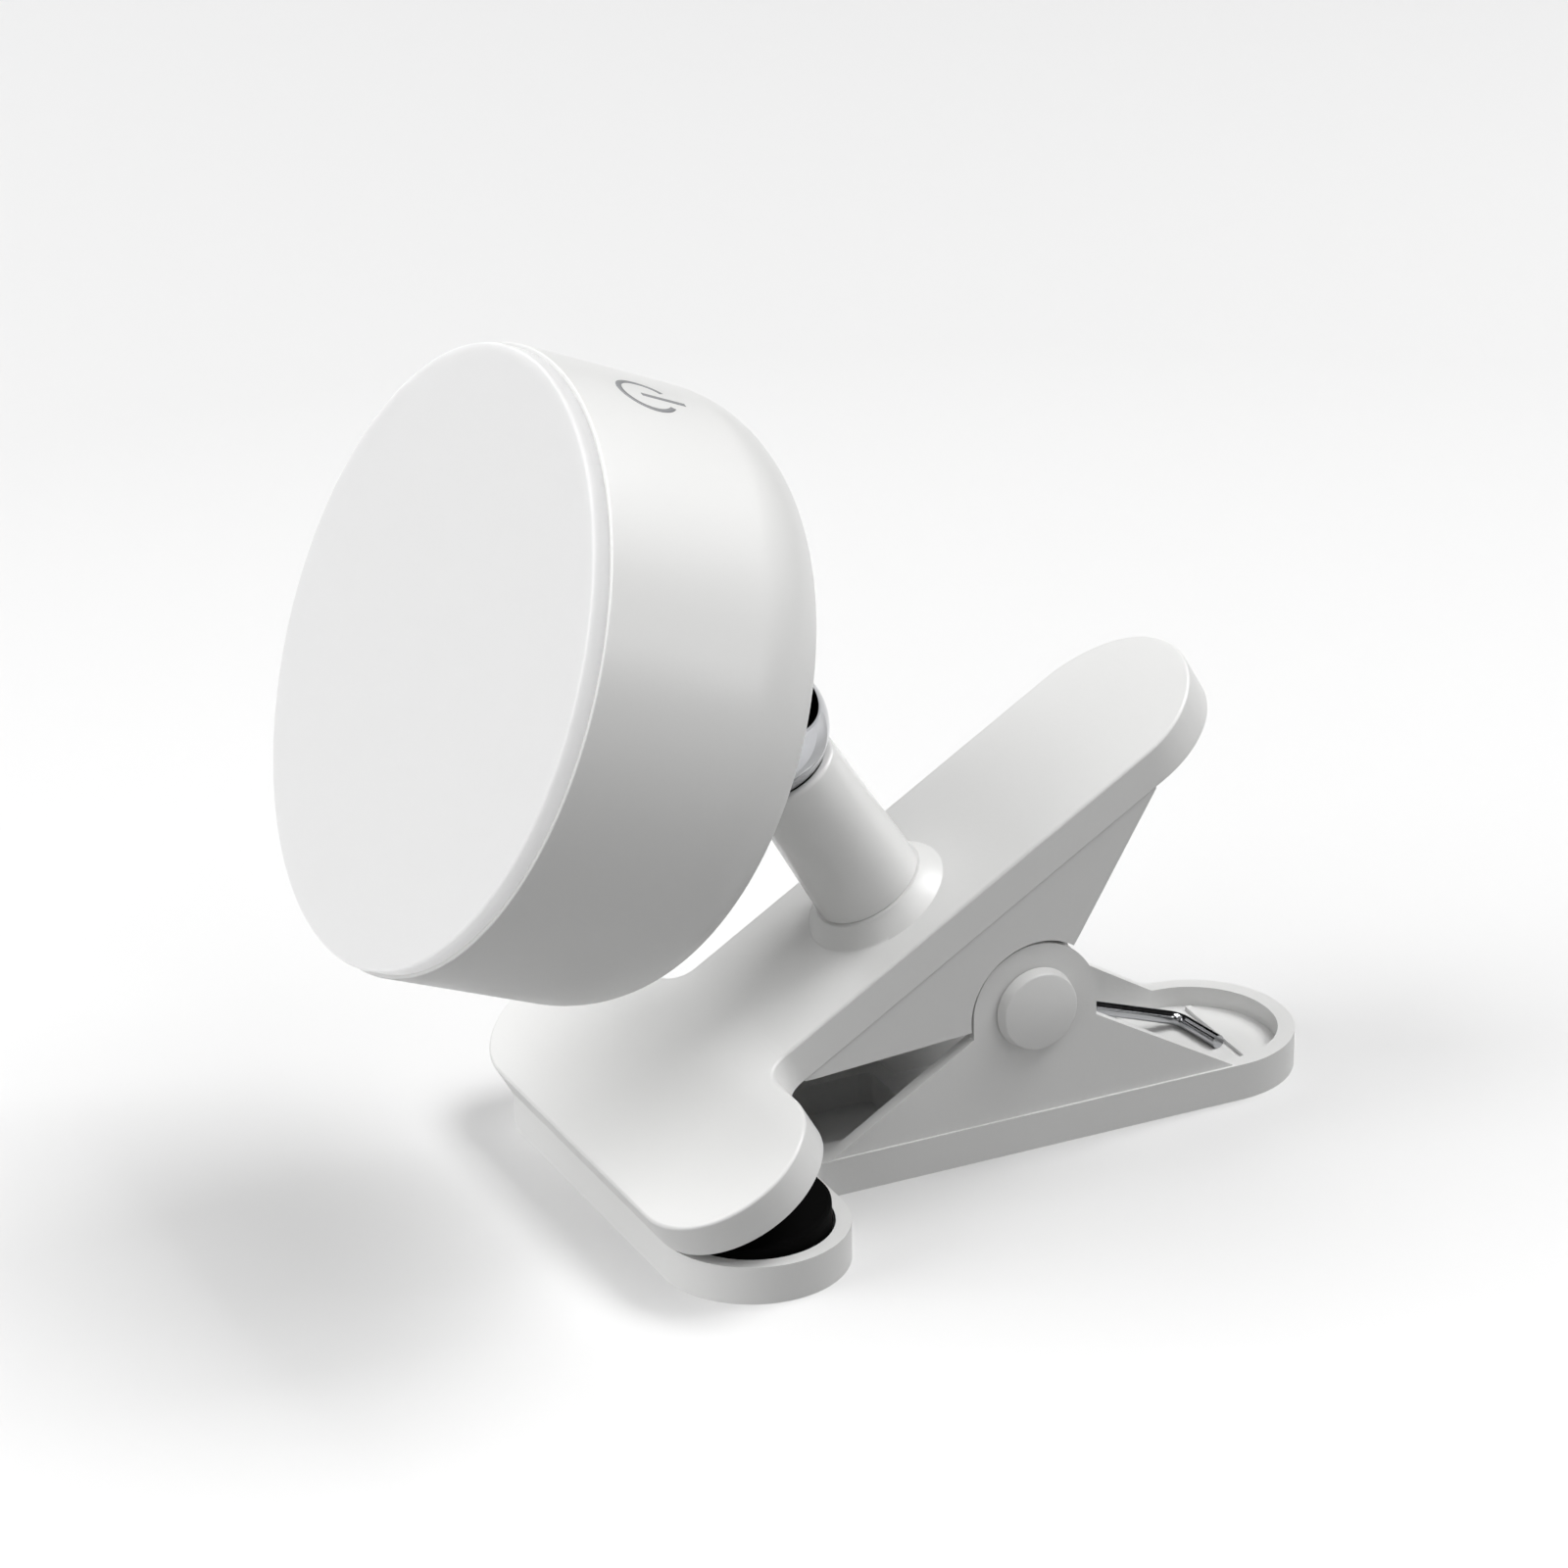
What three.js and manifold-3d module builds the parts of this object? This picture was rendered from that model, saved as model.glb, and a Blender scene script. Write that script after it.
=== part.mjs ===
// Clip on reading lamp, in millimetres, +Z up.
// The origin is on the underside of the lower arm, below the pivot. The jaws point along -Y.
import * as THREE from "three";
import { mergeVertices } from "three/addons/utils/BufferGeometryUtils.js";
import Module from "manifold-3d";

const wasm = await Module();
wasm.setup();

// Fits shared by all pieces
const gap = 0.3; // between pieces that seat on each other
const overrun = 2; // how far a cut runs past the face it leaves

// Clip: places
const pivotHeight = 19.5;
const jawClear = 0.315; // between the closed arms, under the upper jaw's front edge
const pivotToTop = 20; // square to the upper arm's top face

// Lower arm, forward distances counted from the pivot
const lowerThickness = 4.95;
const lowerJawReach = 55.25;
const lowerJawLength = 23.65;
const lowerJawHalf = 33;
const armHalf = 13.3; // half the width of both handles
const lowerNeckTaper = 1.3; // by which the lower arm is narrower at the jaw, each side
const lowerTailBack = 29.7;
const lowerNeckFillet = 2.2;
const jawRim = 1.9;
const lowerFloor = 2.2;
const padSeatDepth = 3;
const bodyWall = 2.2;
const earLedge = 0.3;
const earRadius = 8.5;
const earHoleRadius = 3.5;
const earShoulderFront = 2.7; // below the pivot, where the front slope starts
const earShoulderBack = 2.2;
const earFootFront = 27.9;
const earFootBack = 28.5;
const stopRibBack = 5.4; // behind the tail circle's centre
const stopRibThickness = 0.8;
const stopRibHeight = 1;
const floorRibFront = 12.2;
const floorRibThickness = 1.6;
const floorRibHeight = 2;

// Rubber pads
const lowerPadFront = 0.3; // over the rim at the front
const lowerPadBack = 3; // over the rim at the back
const upperPadProud = 0.5;

// Upper arm
const upperJawOver = 0.15; // how far the upper jaw reaches past the lower one
const upperJawOverSide = 0.4;
const upperJawShort = 0.85; // by which the upper jaw is shorter, at its back
const upperTip = 28.6;
const upperNeckFillet = 2.1;
const coverRim = 4.9;
const coverWall = 2;
const coverSkin = 1.8;
const upperPadSeat = 2.1;

// Frame under the cover
const frameFrontInset = 3.51; // behind the upper jaw
const frameBack = 28.7;
const frameSlab = 1.6;
const frameLip = 2.7;
const frameLipWall = 1.6;
const cheekWall = 2;
const cheekDrop = 1.5; // bottom edge below the pivot
const cheekArch = 9;
const cheekCornerBack = 6.7;
const cheekCornerRise = 7.3;
const lugWall = 2;
const lugRadius = 7.5;
const lugFootHalf = 9;
const seatRibBack = 2.9; // behind the spring's upper foot
const seatRibHeight = 1;
const seatRibThickness = 0.8;

// Pivot
const pinRadius = 2;
const capRadius = 5.2;
const capEdge = 0.7;
const capDome = 1.2;
const capStem = 3.2;
const capFloor = 0.6;

// Spring
const wireRadius = 0.9;
const coilRadius = 5.05;
const coilSideClear = 1.69; // to the lugs
const coilPitch = 2.4; // least room for each whole turn
const lowerFootBack = 31.1;
const upperFootBack = 24.6;
const footReach = 7.7;
const footBend = 1.9;
const footSkewDeg = 10;
const wireSides = 5;
const coilSteps = 8; // to a turn

// Post and ball
const ballRadius = 8.5;
const ballForward = 7.8; // of the pivot, along the upper arm
const ballRise = 29.6; // over the cover's top face
const postLeanDeg = 1.8; // forward of square to the cover
const tubeLow = 27.4; // the tube's lower end, below the ball's centre
const tubeHigh = 6.9;
const tubeLowRadius = 7;
const tubeHighRadius = 6.35;
const tubeEdge = 0.5;
const tubeBore = 4.6;
const bossFoot = 9;
const bossEdge = 0.4;
const bossTopRadius = 7.2;
const spigotHeight = 2;
const innerBossRadius = 6.2;
const innerBossDrop = 1.1; // over the rim's lower edge, where the screw head bears
const postScrewRadius = 2;
const postScrewHead = 3.8;
const postScrewHeadHeight = 2.4;
const postScrewTip = 1.5; // short of the ball's centre

// Head, distances along its axis counted from the ball's centre towards the light
const headTiltDeg = 36.1; // from the post's axis
const headSpinDeg = 9;
const housingRadius = 37.5;
const housingWall = 2.1;
const housingDraft = 0.2;
const seamAt = 44;
const wallLength = 20.2;
const shoulderLength = 11.5;
const shoulderRadial = 8.7;
const hubAt = 5.5;
const hubRadius = 9.6;
const hubFootRadius = 13.2;
const hubEdge = 0.6;
const diffuserProud = 2.1;
const diffuserStep = 0.4;
const diffuserEdge = 1;
const diffuserSkin = 1.8;
const diffuserSkirt = 3.3;
const diffuserSkirtWall = 1.6;

// Magnet and its plate
const magnetRadius = 6.9;
const magnetLip = 0.4; // below the hub's end
const plateRadius = 10;
const plateThickness = 1.2;

// Light and electronics in the head
const carrierAt = 34;
const carrierThickness = 2;
const carrierClear = 1.6; // to the housing's inner wall
const boardClear = 0.5; // to the carrier screws' heads
const boardThickness = 1.2;
const ledCount = 12;
const ledInset = 4.2; // from the board's edge to the middle of an LED
const ledLength = 3.5;
const ledWidth = 2.8;
const ledHeight = 0.8;
const carrierScrewInset = 3.8; // from the carrier's edge
const carrierWireHole = 8;
const carrierBoss = 2.9;
const smallScrewRadius = 1.1;
const smallScrewHead = 2.1;
const smallScrewHeadHeight = 1.2;
const carrierScrewDepth = 9;
const batteryEndClear = 10.2; // to the housing's inner wall
const batteryWidthShare = 0.68; // of its length
const batteryThickness = 7.5;
const batteryCorner = 3;
const controlAt = 26;
const controlThickness = 1.2;
const controlHalf = 10;
const controlClear = 2.2; // to the housing's inner wall
const controlLength = 13.5;
const controlSideClear = 1.09; // to the carrier screws' posts
const controlPostInset = 3.5; // from the board's sides
const controlPostBack = 8; // from the board's outer edge
const controlPostRadius = 2.2;
const usbWidth = 9;
const usbHeight = 3.2;
const usbDepth = 7.4;
const usbShell = 0.5;
const usbTongue = 0.7;
const usbSetback = 0.5;
const touchHalfAngleDeg = 9;
const touchThickness = 0.5;
const touchLow = 28;
const touchHigh = 40.2;

// Frame screws
const frameScrewSide = 5;
const frameScrewInset = 6.09; // behind the frame's front edge
const frameScrewBack = 13.5;
const frameScrewBossRadius = 2.8;
const frameScrewBite = 3.6;

// Fineness of round shapes
const roundSteps = 48;
const ballSteps = 28;
const smallSteps = 14;
const arcSteps = 6;

const rad = THREE.MathUtils.degToRad;
const whiteAbs = { color: 0xf1f1f0, roughness: 0.42, metalness: 0 };
const opal = { color: 0xe9e9e8, roughness: 0.35, metalness: 0 };
const rubber = { color: 0x101010, roughness: 0.8, metalness: 0 };
const chrome = { color: 0xd8d9db, roughness: 0.08, metalness: 1 };
const steel = { color: 0xb4b6b8, roughness: 0.3, metalness: 1 };
const board = { color: 0xeeeeea, roughness: 0.5, metalness: 0 };
const resin = { color: 0x1f5a35, roughness: 0.5, metalness: 0 };
const phosphor = { color: 0xf2d46a, roughness: 0.4, metalness: 0 };
const film = { color: 0x9aa3ad, roughness: 0.4, metalness: 0.2 };
const copper = { color: 0xb87333, roughness: 0.35, metalness: 1 };

// Solids

function solid(geometry) {
  const g = geometry.clone();
  g.deleteAttribute("normal");
  g.deleteAttribute("uv");
  const merged = mergeVertices(g, 1e-5);
  return new wasm.Manifold(new wasm.Mesh({
    numProp: 3,
    vertProperties: new Float32Array(merged.attributes.position.array),
    triVerts: new Uint32Array(merged.index.array),
  }));
}

function geometryOf(manifold) {
  const m = manifold.getMesh();
  const g = new THREE.BufferGeometry();
  g.setAttribute("position", new THREE.BufferAttribute(new Float32Array(m.vertProperties), m.numProp));
  g.setIndex(new THREE.BufferAttribute(new Uint32Array(m.triVerts), 1));
  g.computeVertexNormals();
  return g;
}

const join = (...parts) => parts.reduce((a, b) => a.add(b));
const cut = (body, ...tools) => tools.reduce((a, b) => a.subtract(b), body);

// A plan outline stood on z = low and raised to z = high
function slab(shape, low, high, steps = arcSteps) {
  const g = new THREE.ExtrudeGeometry(shape, { depth: high - low, bevelEnabled: false, curveSegments: steps });
  g.translate(0, 0, low);
  return solid(g);
}

// A side outline, drawn in Y and Z, from x = low to x = high
const sideways = new THREE.Matrix4().makeBasis(
  new THREE.Vector3(0, 1, 0), new THREE.Vector3(0, 0, 1), new THREE.Vector3(1, 0, 0));
function cheek(shape, low, high, steps = arcSteps) {
  const g = new THREE.ExtrudeGeometry(shape, { depth: high - low, bevelEnabled: false, curveSegments: steps });
  g.translate(0, 0, low);
  g.applyMatrix4(sideways);
  return solid(g);
}

// A profile of [radius, height] pairs, listed either way round, turned about the Z axis
function turned(profile, steps = roundSteps) {
  const points = profile.map(([r, h]) => new THREE.Vector2(r, h));
  if (THREE.ShapeUtils.area(points) < 0) points.reverse();
  const g = new THREE.LatheGeometry(points, steps);
  g.rotateX(Math.PI / 2);
  return solid(g);
}

function rod(radius, low, high, steps = smallSteps) {
  return turned([[0, low], [radius, low], [radius, high], [0, high]], steps);
}

// The same, lying along X with its axis through (y, z)
function crossRod(radius, low, high, y, z, steps = roundSteps) {
  const shape = new THREE.Shape().absarc(y, z, radius, 0, 2 * Math.PI);
  return cheek(shape, low, high, steps / 2);
}

function block(x0, x1, y0, y1, z0, z1) {
  const g = new THREE.BoxGeometry(x1 - x0, y1 - y0, z1 - z0);
  g.translate((x0 + x1) / 2, (y0 + y1) / 2, (z0 + z1) / 2);
  return solid(g);
}

function outline(points) {
  return new THREE.Shape(points.map(([a, b]) => new THREE.Vector2(a, b)));
}

// A quarter of an ellipse as points, from angle a to angle b
function quarter(r, z, radial, axial, a, b, steps) {
  return Array.from({ length: steps + 1 }, (_, i) => {
    const t = rad(a + ((b - a) * i) / steps);
    return [r + radial * Math.cos(t), z + axial * Math.sin(t)];
  });
}

function place(group, name, shape, look) {
  const mesh = new THREE.Mesh(geometryOf(shape), new THREE.MeshStandardMaterial(look));
  mesh.name = name;
  group.add(mesh);
}

// Plan outlines of the two arms

// A jaw with round ends, drawn in by inset all round
function jawOutline({ front, length, half }, inset) {
  const r = length / 2 - inset;
  const x = half - length / 2;
  const y = front + length / 2;
  const s = new THREE.Shape();
  s.moveTo(-x, y - r);
  s.lineTo(x, y - r);
  s.absarc(x, y, r, -Math.PI / 2, Math.PI / 2);
  s.lineTo(-x, y + r);
  s.absarc(-x, y, r, Math.PI / 2, (3 * Math.PI) / 2);
  return s;
}

// The stem behind the jaw, with a round tail
function stemOutline({ front, length, neckHalf, tail, tailRadius }, inset, start) {
  const s = new THREE.Shape();
  const slope = (tailRadius - neckHalf) / (tail - front - length);
  const startHalf = neckHalf + slope * (start - front - length) - inset;
  s.moveTo(-startHalf, start);
  s.lineTo(startHalf, start);
  s.lineTo(tailRadius - inset, tail);
  s.absarc(0, tail, tailRadius - inset, 0, Math.PI);
  s.lineTo(-startHalf, start);
  return s;
}

// The fillet that fills the corner between jaw and stem
function neckOutline({ front, length, neckHalf, fillet }, side) {
  const y = front + length;
  const s = new THREE.Shape();
  const inner = neckHalf - fillet;
  s.moveTo(inner * side, y - fillet);
  s.lineTo((neckHalf + fillet) * side, y - fillet);
  s.lineTo((neckHalf + fillet) * side, y);
  s.absarc((neckHalf + fillet) * side, y + fillet, fillet, -Math.PI / 2, side > 0 ? -Math.PI : 0, side > 0);
  s.lineTo(inner * side, y + fillet);
  s.lineTo(inner * side, y - fillet);
  return s;
}

// The whole T of an arm from z = low to z = high
function armBlank(arm, low, high) {
  const stemStart = arm.front + arm.length / 2;
  return join(
    slab(jawOutline(arm, 0), low, high),
    slab(stemOutline(arm, 0, stemStart), low, high),
    slab(neckOutline(arm, 1), low, high),
    slab(neckOutline(arm, -1), low, high));
}

const lowerNeckHalf = armHalf - lowerNeckTaper;
const lower = {
  front: -lowerJawReach, length: lowerJawLength, half: lowerJawHalf,
  neckHalf: lowerNeckHalf, tail: lowerTailBack, tailRadius: armHalf, fillet: lowerNeckFillet,
};
const upper = {
  front: -lowerJawReach - upperJawOver, length: lowerJawLength - upperJawShort, half: lowerJawHalf + upperJawOverSide,
  neckHalf: armHalf, tail: upperTip, tailRadius: armHalf, fillet: upperNeckFillet,
};

// The lower arm's half-width beside the pivot, from which the ears, lugs and pin take their places
const lowerStemBack = lowerTailBack + lowerJawReach - lowerJawLength;
const lowerHalfAtPivot = lowerNeckHalf
  + ((armHalf - lowerNeckHalf) * (lowerJawReach - lowerJawLength)) / lowerStemBack;
const earOuter = lowerHalfAtPivot - earLedge;
const earInner = lowerHalfAtPivot - bodyWall;
const earTaper = ((armHalf - lowerNeckHalf) * earRadius) / lowerStemBack;
const lugOuter = earInner - earTaper - gap;
const lugInner = lugOuter - lugWall;
const coilHalf = lugInner - coilSideClear - wireRadius;
const coilTurns = Math.floor((2 * coilHalf) / coilPitch); // whole turns, besides the part turn between the legs

// Lower arm

const world = new THREE.Group();

function earProfile() {
  const s = new THREE.Shape();
  s.moveTo(earFootBack, 0);
  s.lineTo(earFootBack, lowerThickness);
  s.lineTo(earRadius, pivotHeight - earShoulderBack);
  s.lineTo(earRadius, pivotHeight);
  s.absarc(0, pivotHeight, earRadius, 0, Math.PI);
  s.lineTo(-earRadius, pivotHeight - earShoulderFront);
  s.lineTo(-earFootFront, lowerThickness);
  s.lineTo(-earFootFront, 0);
  return s;
}

function lowerArm() {
  const padFloor = lowerThickness - padSeatDepth;
  const stemStart = lower.front + lower.length + jawRim;
  const high = pivotHeight + earRadius + overrun;
  const shell = cut(
    slab(stemOutline(lower, earLedge, stemStart), 0, high),
    slab(stemOutline(lower, bodyWall, stemStart - overrun), -overrun, high + overrun));
  const ears = shell.intersect(cheek(earProfile(), -armHalf, armHalf, roundSteps / 4));
  const plate = cut(
    armBlank(lower, 0, lowerThickness),
    slab(jawOutline(lower, jawRim), padFloor, lowerThickness + overrun),
    slab(stemOutline(lower, bodyWall, stemStart), lowerFloor, lowerThickness + overrun));
  const stopAt = lowerTailBack + stopRibBack;
  const stopHalf = Math.sqrt((armHalf - bodyWall) ** 2 - stopRibBack ** 2) + gap;
  const stopRib = block(
    -stopHalf, stopHalf, stopAt, stopAt + stopRibThickness, lowerFloor - gap, lowerFloor + stopRibHeight);
  const ribHalf = earInner;
  const floorRib = block(
    -ribHalf, ribHalf, -floorRibFront, -floorRibFront + floorRibThickness,
    lowerFloor - gap, lowerFloor + floorRibHeight);
  return cut(
    join(plate, ears, stopRib, floorRib),
    crossRod(earHoleRadius, -armHalf - overrun, armHalf + overrun, 0, pivotHeight, smallSteps));
}

function lowerPad() {
  const inset = jawRim + gap;
  const front = lower.front + inset;
  const back = lower.front + lower.length - inset;
  const low = lowerThickness - padSeatDepth + gap;
  const wedge = cheek(outline([
    [front, low], [back, low], [back, lowerThickness + lowerPadBack], [front, lowerThickness + lowerPadFront],
  ]), -lowerJawHalf, lowerJawHalf);
  return wedge.intersect(slab(jawOutline(lower, inset), low, lowerThickness + lowerPadBack + overrun));
}

// A domed cap whose stem passes through the ear and takes the pin's end; its face points along +Z
function pinCap() {
  const stemEnd = earOuter - earInner - earTaper;
  return turned([
    [0, gap + capEdge + capDome],
    ...quarter(0, gap + capEdge, capRadius, capDome, 90, 0, arcSteps).slice(1),
    [capRadius, gap], [capStem, gap], [capStem, -stemEnd], [pinRadius + gap, -stemEnd],
    [pinRadius + gap, -capFloor], [0, -capFloor],
  ], smallSteps * 2);
}

place(world, "lower_arm", lowerArm(), whiteAbs);
place(world, "lower_pad", lowerPad(), rubber);
const pinHalf = earOuter - capFloor - gap;
place(world, "pivot_pin", crossRod(pinRadius, -pinHalf, pinHalf, 0, pivotHeight, smallSteps * 2), steel);
for (const [name, side] of [["pin_cap_left", -1], ["pin_cap_right", 1]]) {
  const capGroup = new THREE.Group();
  capGroup.position.set(side * earOuter, 0, pivotHeight);
  capGroup.rotation.y = (side * Math.PI) / 2;
  place(capGroup, name, pinCap(), whiteAbs);
  world.add(capGroup);
}

// Upper arm: its group turns about the pivot, Y runs towards the handle's tip and Z squares up to the top face

const top = pivotToTop;
const rimLow = top - coverRim;

// The tilt at which the closed upper jaw's front edge clears the lower arm
const jawDrop = pivotHeight - lowerThickness - jawClear;
const armTiltDeg = THREE.MathUtils.radToDeg(
  Math.atan2(rimLow, -upper.front) + Math.asin(jawDrop / Math.hypot(rimLow, upper.front)));
console.log("tilt of the closed upper arm, degrees:", armTiltDeg.toFixed(4));

const arm = new THREE.Group();
arm.position.set(0, 0, pivotHeight);
arm.rotation.x = rad(armTiltDeg);
world.add(arm);

const skinLow = top - coverSkin;
const slabHigh = rimLow - gap;
const slabLow = slabHigh - frameSlab;

// A point given behind and above the pivot, with the clip closed, in the arm's own frame
function inArm(back, up) {
  const t = rad(armTiltDeg);
  return [back * Math.cos(t) + up * Math.sin(t), up * Math.cos(t) - back * Math.sin(t)];
}

const frameFront = upper.front + upper.length + frameFrontInset;

// The ball and post share a frame at the ball's centre, leaning forward of the cover's normal
const postFrame = new THREE.Matrix4()
  .makeTranslation(0, -ballForward, top + ballRise)
  .multiply(new THREE.Matrix4().makeRotationX(rad(postLeanDeg)));

// Turns a solid made round the post's axis into the arm's frame
function onPost(shape) {
  const g = geometryOf(shape);
  g.applyMatrix4(postFrame);
  return solid(g);
}

const bossTop = -tubeLow - gap;
const coverAtPost = -ballRise / Math.cos(rad(postLeanDeg));
const bearing = coverAtPost - coverRim + innerBossDrop;
const frameScrewFront = frameFront + frameScrewInset;
const frameScrewSpots = [
  [-frameScrewSide, frameScrewFront], [frameScrewSide, frameScrewFront],
  [-frameScrewSide, frameScrewBack], [frameScrewSide, frameScrewBack],
];

function upperCover() {
  const hollowStart = upper.front + upper.length + coverWall;
  const bossRound = bossTop - coverAtPost - bossEdge;
  const boss = onPost(turned([
    [0, coverAtPost - coverSkin / 2],
    [bossFoot, coverAtPost - coverSkin / 2],
    ...quarter(bossTopRadius, coverAtPost + bossEdge, bossFoot - bossTopRadius, bossRound, 0, 90, arcSteps),
    [tubeBore - gap, bossTop],
    [tubeBore - gap, bossTop + spigotHeight],
    [0, bossTop + spigotHeight],
  ]));
  const shell = cut(
    armBlank(upper, rimLow, top),
    slab(jawOutline(upper, coverWall), rimLow - overrun, rimLow + upperPadSeat),
    slab(stemOutline(upper, coverWall, hollowStart), rimLow - overrun, skinLow));
  const innerBoss = onPost(rod(innerBossRadius, bearing, coverAtPost - coverSkin / 2, smallSteps * 2));
  const screwBosses = frameScrewSpots.map(([x, y]) => {
    const hub = rod(frameScrewBossRadius, slabHigh + gap, top - coverSkin / 2);
    return hub.translate([x, y, 0]);
  });
  const pilots = frameScrewSpots.map(([x, y]) =>
    rod(smallScrewRadius + gap, slabHigh - overrun, slabHigh + frameScrewBite + gap).translate([x, y, 0]));
  const bore = onPost(rod(postScrewRadius + gap, bearing - overrun, bossTop + spigotHeight + overrun));
  return cut(join(shell, boss, innerBoss, ...screwBosses), bore, ...pilots);
}

function upperFrame() {
  const plate = block(-armHalf, armHalf, frameFront, frameBack, slabLow, slabHigh);
  const lipStart = frameFront + gap;
  const lipHalf = armHalf - coverWall - gap;
  const lip = cut(
    block(-lipHalf, lipHalf, lipStart, frameBack, slabHigh - frameSlab / 2, slabHigh + frameLip),
    block(-lipHalf + frameLipWall, lipHalf - frameLipWall, lipStart + frameLipWall, frameBack - frameLipWall,
      slabHigh - frameSlab, slabHigh + frameLip + overrun));
  const side = outline([
    [frameFront, slabHigh], inArm(0, -cheekDrop), inArm(cheekCornerBack, cheekCornerRise), [frameBack, slabHigh],
  ]);
  const cheeks = [-armHalf, armHalf - cheekWall].map((low) => cut(
    cheek(side, low, low + cheekWall),
    crossRod(cheekArch, -armHalf - overrun, armHalf + overrun, 0, 0)));
  const lugs = [-lugOuter, lugInner].map((low) => {
    const foot = outline([[-lugRadius, 0], [lugRadius, 0], [lugFootHalf, slabHigh - frameSlab / 2],
      [-lugFootHalf, slabHigh - frameSlab / 2]]);
    return join(crossRod(lugRadius, low, low + lugWall, 0, 0), cheek(foot, low, low + lugWall));
  });
  const ribAt = upperFootBack + seatRibBack;
  const seatRib = block(-lipHalf, lipHalf, ribAt, ribAt + seatRibThickness, slabLow - seatRibHeight, slabHigh - frameSlab / 2);
  const holes = frameScrewSpots.map(([x, y]) =>
    rod(smallScrewRadius + gap, slabLow - overrun, slabHigh + overrun).translate([x, y, 0]));
  const headHole = onPost(rod(postScrewHead + gap, bearing - coverRim - overrun, bearing));
  return cut(
    join(plate, lip, ...cheeks, ...lugs, seatRib),
    crossRod(pinRadius + gap, -armHalf, armHalf, 0, 0, smallSteps * 2), ...holes, headHole);
}

function upperPad() {
  return slab(jawOutline(upper, coverWall + gap), rimLow - upperPadProud, rimLow + upperPadSeat - gap);
}

// A pan-head screw: its head's underside is at z = 0 and its shank points along +Z
function screw(headRadius, headHeight, radius, length) {
  return turned([
    [0, -headHeight], [headRadius * 0.8, -headHeight], [headRadius, -headHeight / 2], [headRadius, 0],
    [radius, 0], [radius, length], [0, length],
  ]);
}

place(arm, "upper_cover", upperCover(), whiteAbs);
place(arm, "upper_frame", upperFrame(), whiteAbs);
place(arm, "upper_pad", upperPad(), rubber);
frameScrewSpots.forEach(([x, y], i) => {
  const length = frameSlab + gap + frameScrewBite;
  const g = new THREE.Group();
  g.position.set(x, y, slabLow - gap);
  place(g, `frame_screw_${i + 1}`, screw(smallScrewHead, smallScrewHeadHeight, smallScrewRadius, length), steel);
  arm.add(g);
});

// Torsion spring: its centre line in the lower arm's frame, counted from the pivot

// A curve through listed points, so that the tube has one ring of corners at each
class Wire extends THREE.Curve {
  constructor(points) {
    super();
    this.points = points;
  }

  getPointAt(u, target = new THREE.Vector3()) {
    return target.copy(this.points[Math.round(u * (this.points.length - 1))]);
  }

  getTangentAt(u, target = new THREE.Vector3()) {
    const last = this.points.length - 1;
    const i = Math.round(u * last);
    const to = (a, b) => new THREE.Vector3().subVectors(this.points[b], this.points[a]).normalize();
    return target.copy(to(Math.max(i - 1, 0), Math.max(i, 1))).add(to(Math.min(i, last - 1), Math.min(i + 1, last))).normalize();
  }
}

// The angle at which a straight leg from the point (y, z) touches the coil, over or under the axis
function touching(y, z, side) {
  return Math.atan2(z, y) + side * Math.acos(coilRadius / Math.hypot(y, z));
}

// The points of a foot: its free end, where it turns straight, and the bend into the leg towards coilPoint
function foot(corner, along, coilPoint) {
  const leg = new THREE.Vector3().subVectors(coilPoint, corner).normalize();
  const bendStart = corner.clone().addScaledVector(along, footBend);
  const bendEnd = corner.clone().addScaledVector(leg, footBend);
  const bend = new THREE.QuadraticBezierCurve3(bendStart, corner, bendEnd);
  return [corner.clone().addScaledVector(along, footReach), ...bend.getPoints(arcSteps / 2)];
}

function springLine() {
  const toWorld = new THREE.Matrix4().makeRotationX(rad(armTiltDeg));
  const lowerCorner = new THREE.Vector3(-coilHalf, lowerFootBack, lowerFloor + gap + wireRadius - pivotHeight);
  const upperCorner = new THREE.Vector3(coilHalf, upperFootBack, slabLow - gap - wireRadius).applyMatrix4(toWorld);
  const first = touching(lowerCorner.y, lowerCorner.z, -1);
  const last = touching(upperCorner.y, upperCorner.z, 1);
  const sweep = first - last + 2 * Math.PI * (coilTurns + 1);
  const count = Math.round((sweep / (2 * Math.PI)) * coilSteps);
  const coil = Array.from({ length: count + 1 }, (_, i) => {
    const a = first - (sweep * i) / count;
    return new THREE.Vector3(
      coilHalf * ((2 * i) / count - 1), coilRadius * Math.cos(a), coilRadius * Math.sin(a));
  });
  const skew = rad(footSkewDeg);
  const lowerAlong = new THREE.Vector3(Math.cos(skew), Math.sin(skew), 0);
  const upperAlong = new THREE.Vector3(-Math.cos(skew), Math.sin(skew), 0).applyMatrix4(toWorld);
  return [
    ...foot(lowerCorner, lowerAlong, coil[0]),
    ...coil,
    ...foot(upperCorner, upperAlong, coil[count]).reverse(),
  ];
}

// The least free space between two parts of the wire at least half a turn apart along it
function leastGap(line) {
  const fine = [];
  const travelled = [];
  let run = 0;
  for (let i = 1; i < line.length; i += 1) {
    for (let j = 0; j < arcSteps; j += 1) {
      fine.push(new THREE.Vector3().lerpVectors(line[i - 1], line[i], j / arcSteps));
      travelled.push(run + (line[i - 1].distanceTo(line[i]) * j) / arcSteps);
    }
    run += line[i - 1].distanceTo(line[i]);
  }
  let least = Infinity;
  fine.forEach((p, i) => fine.forEach((q, j) => {
    if (travelled[j] - travelled[i] > Math.PI * coilRadius) least = Math.min(least, p.distanceTo(q));
  }));
  return least - 2 * wireRadius;
}

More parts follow.
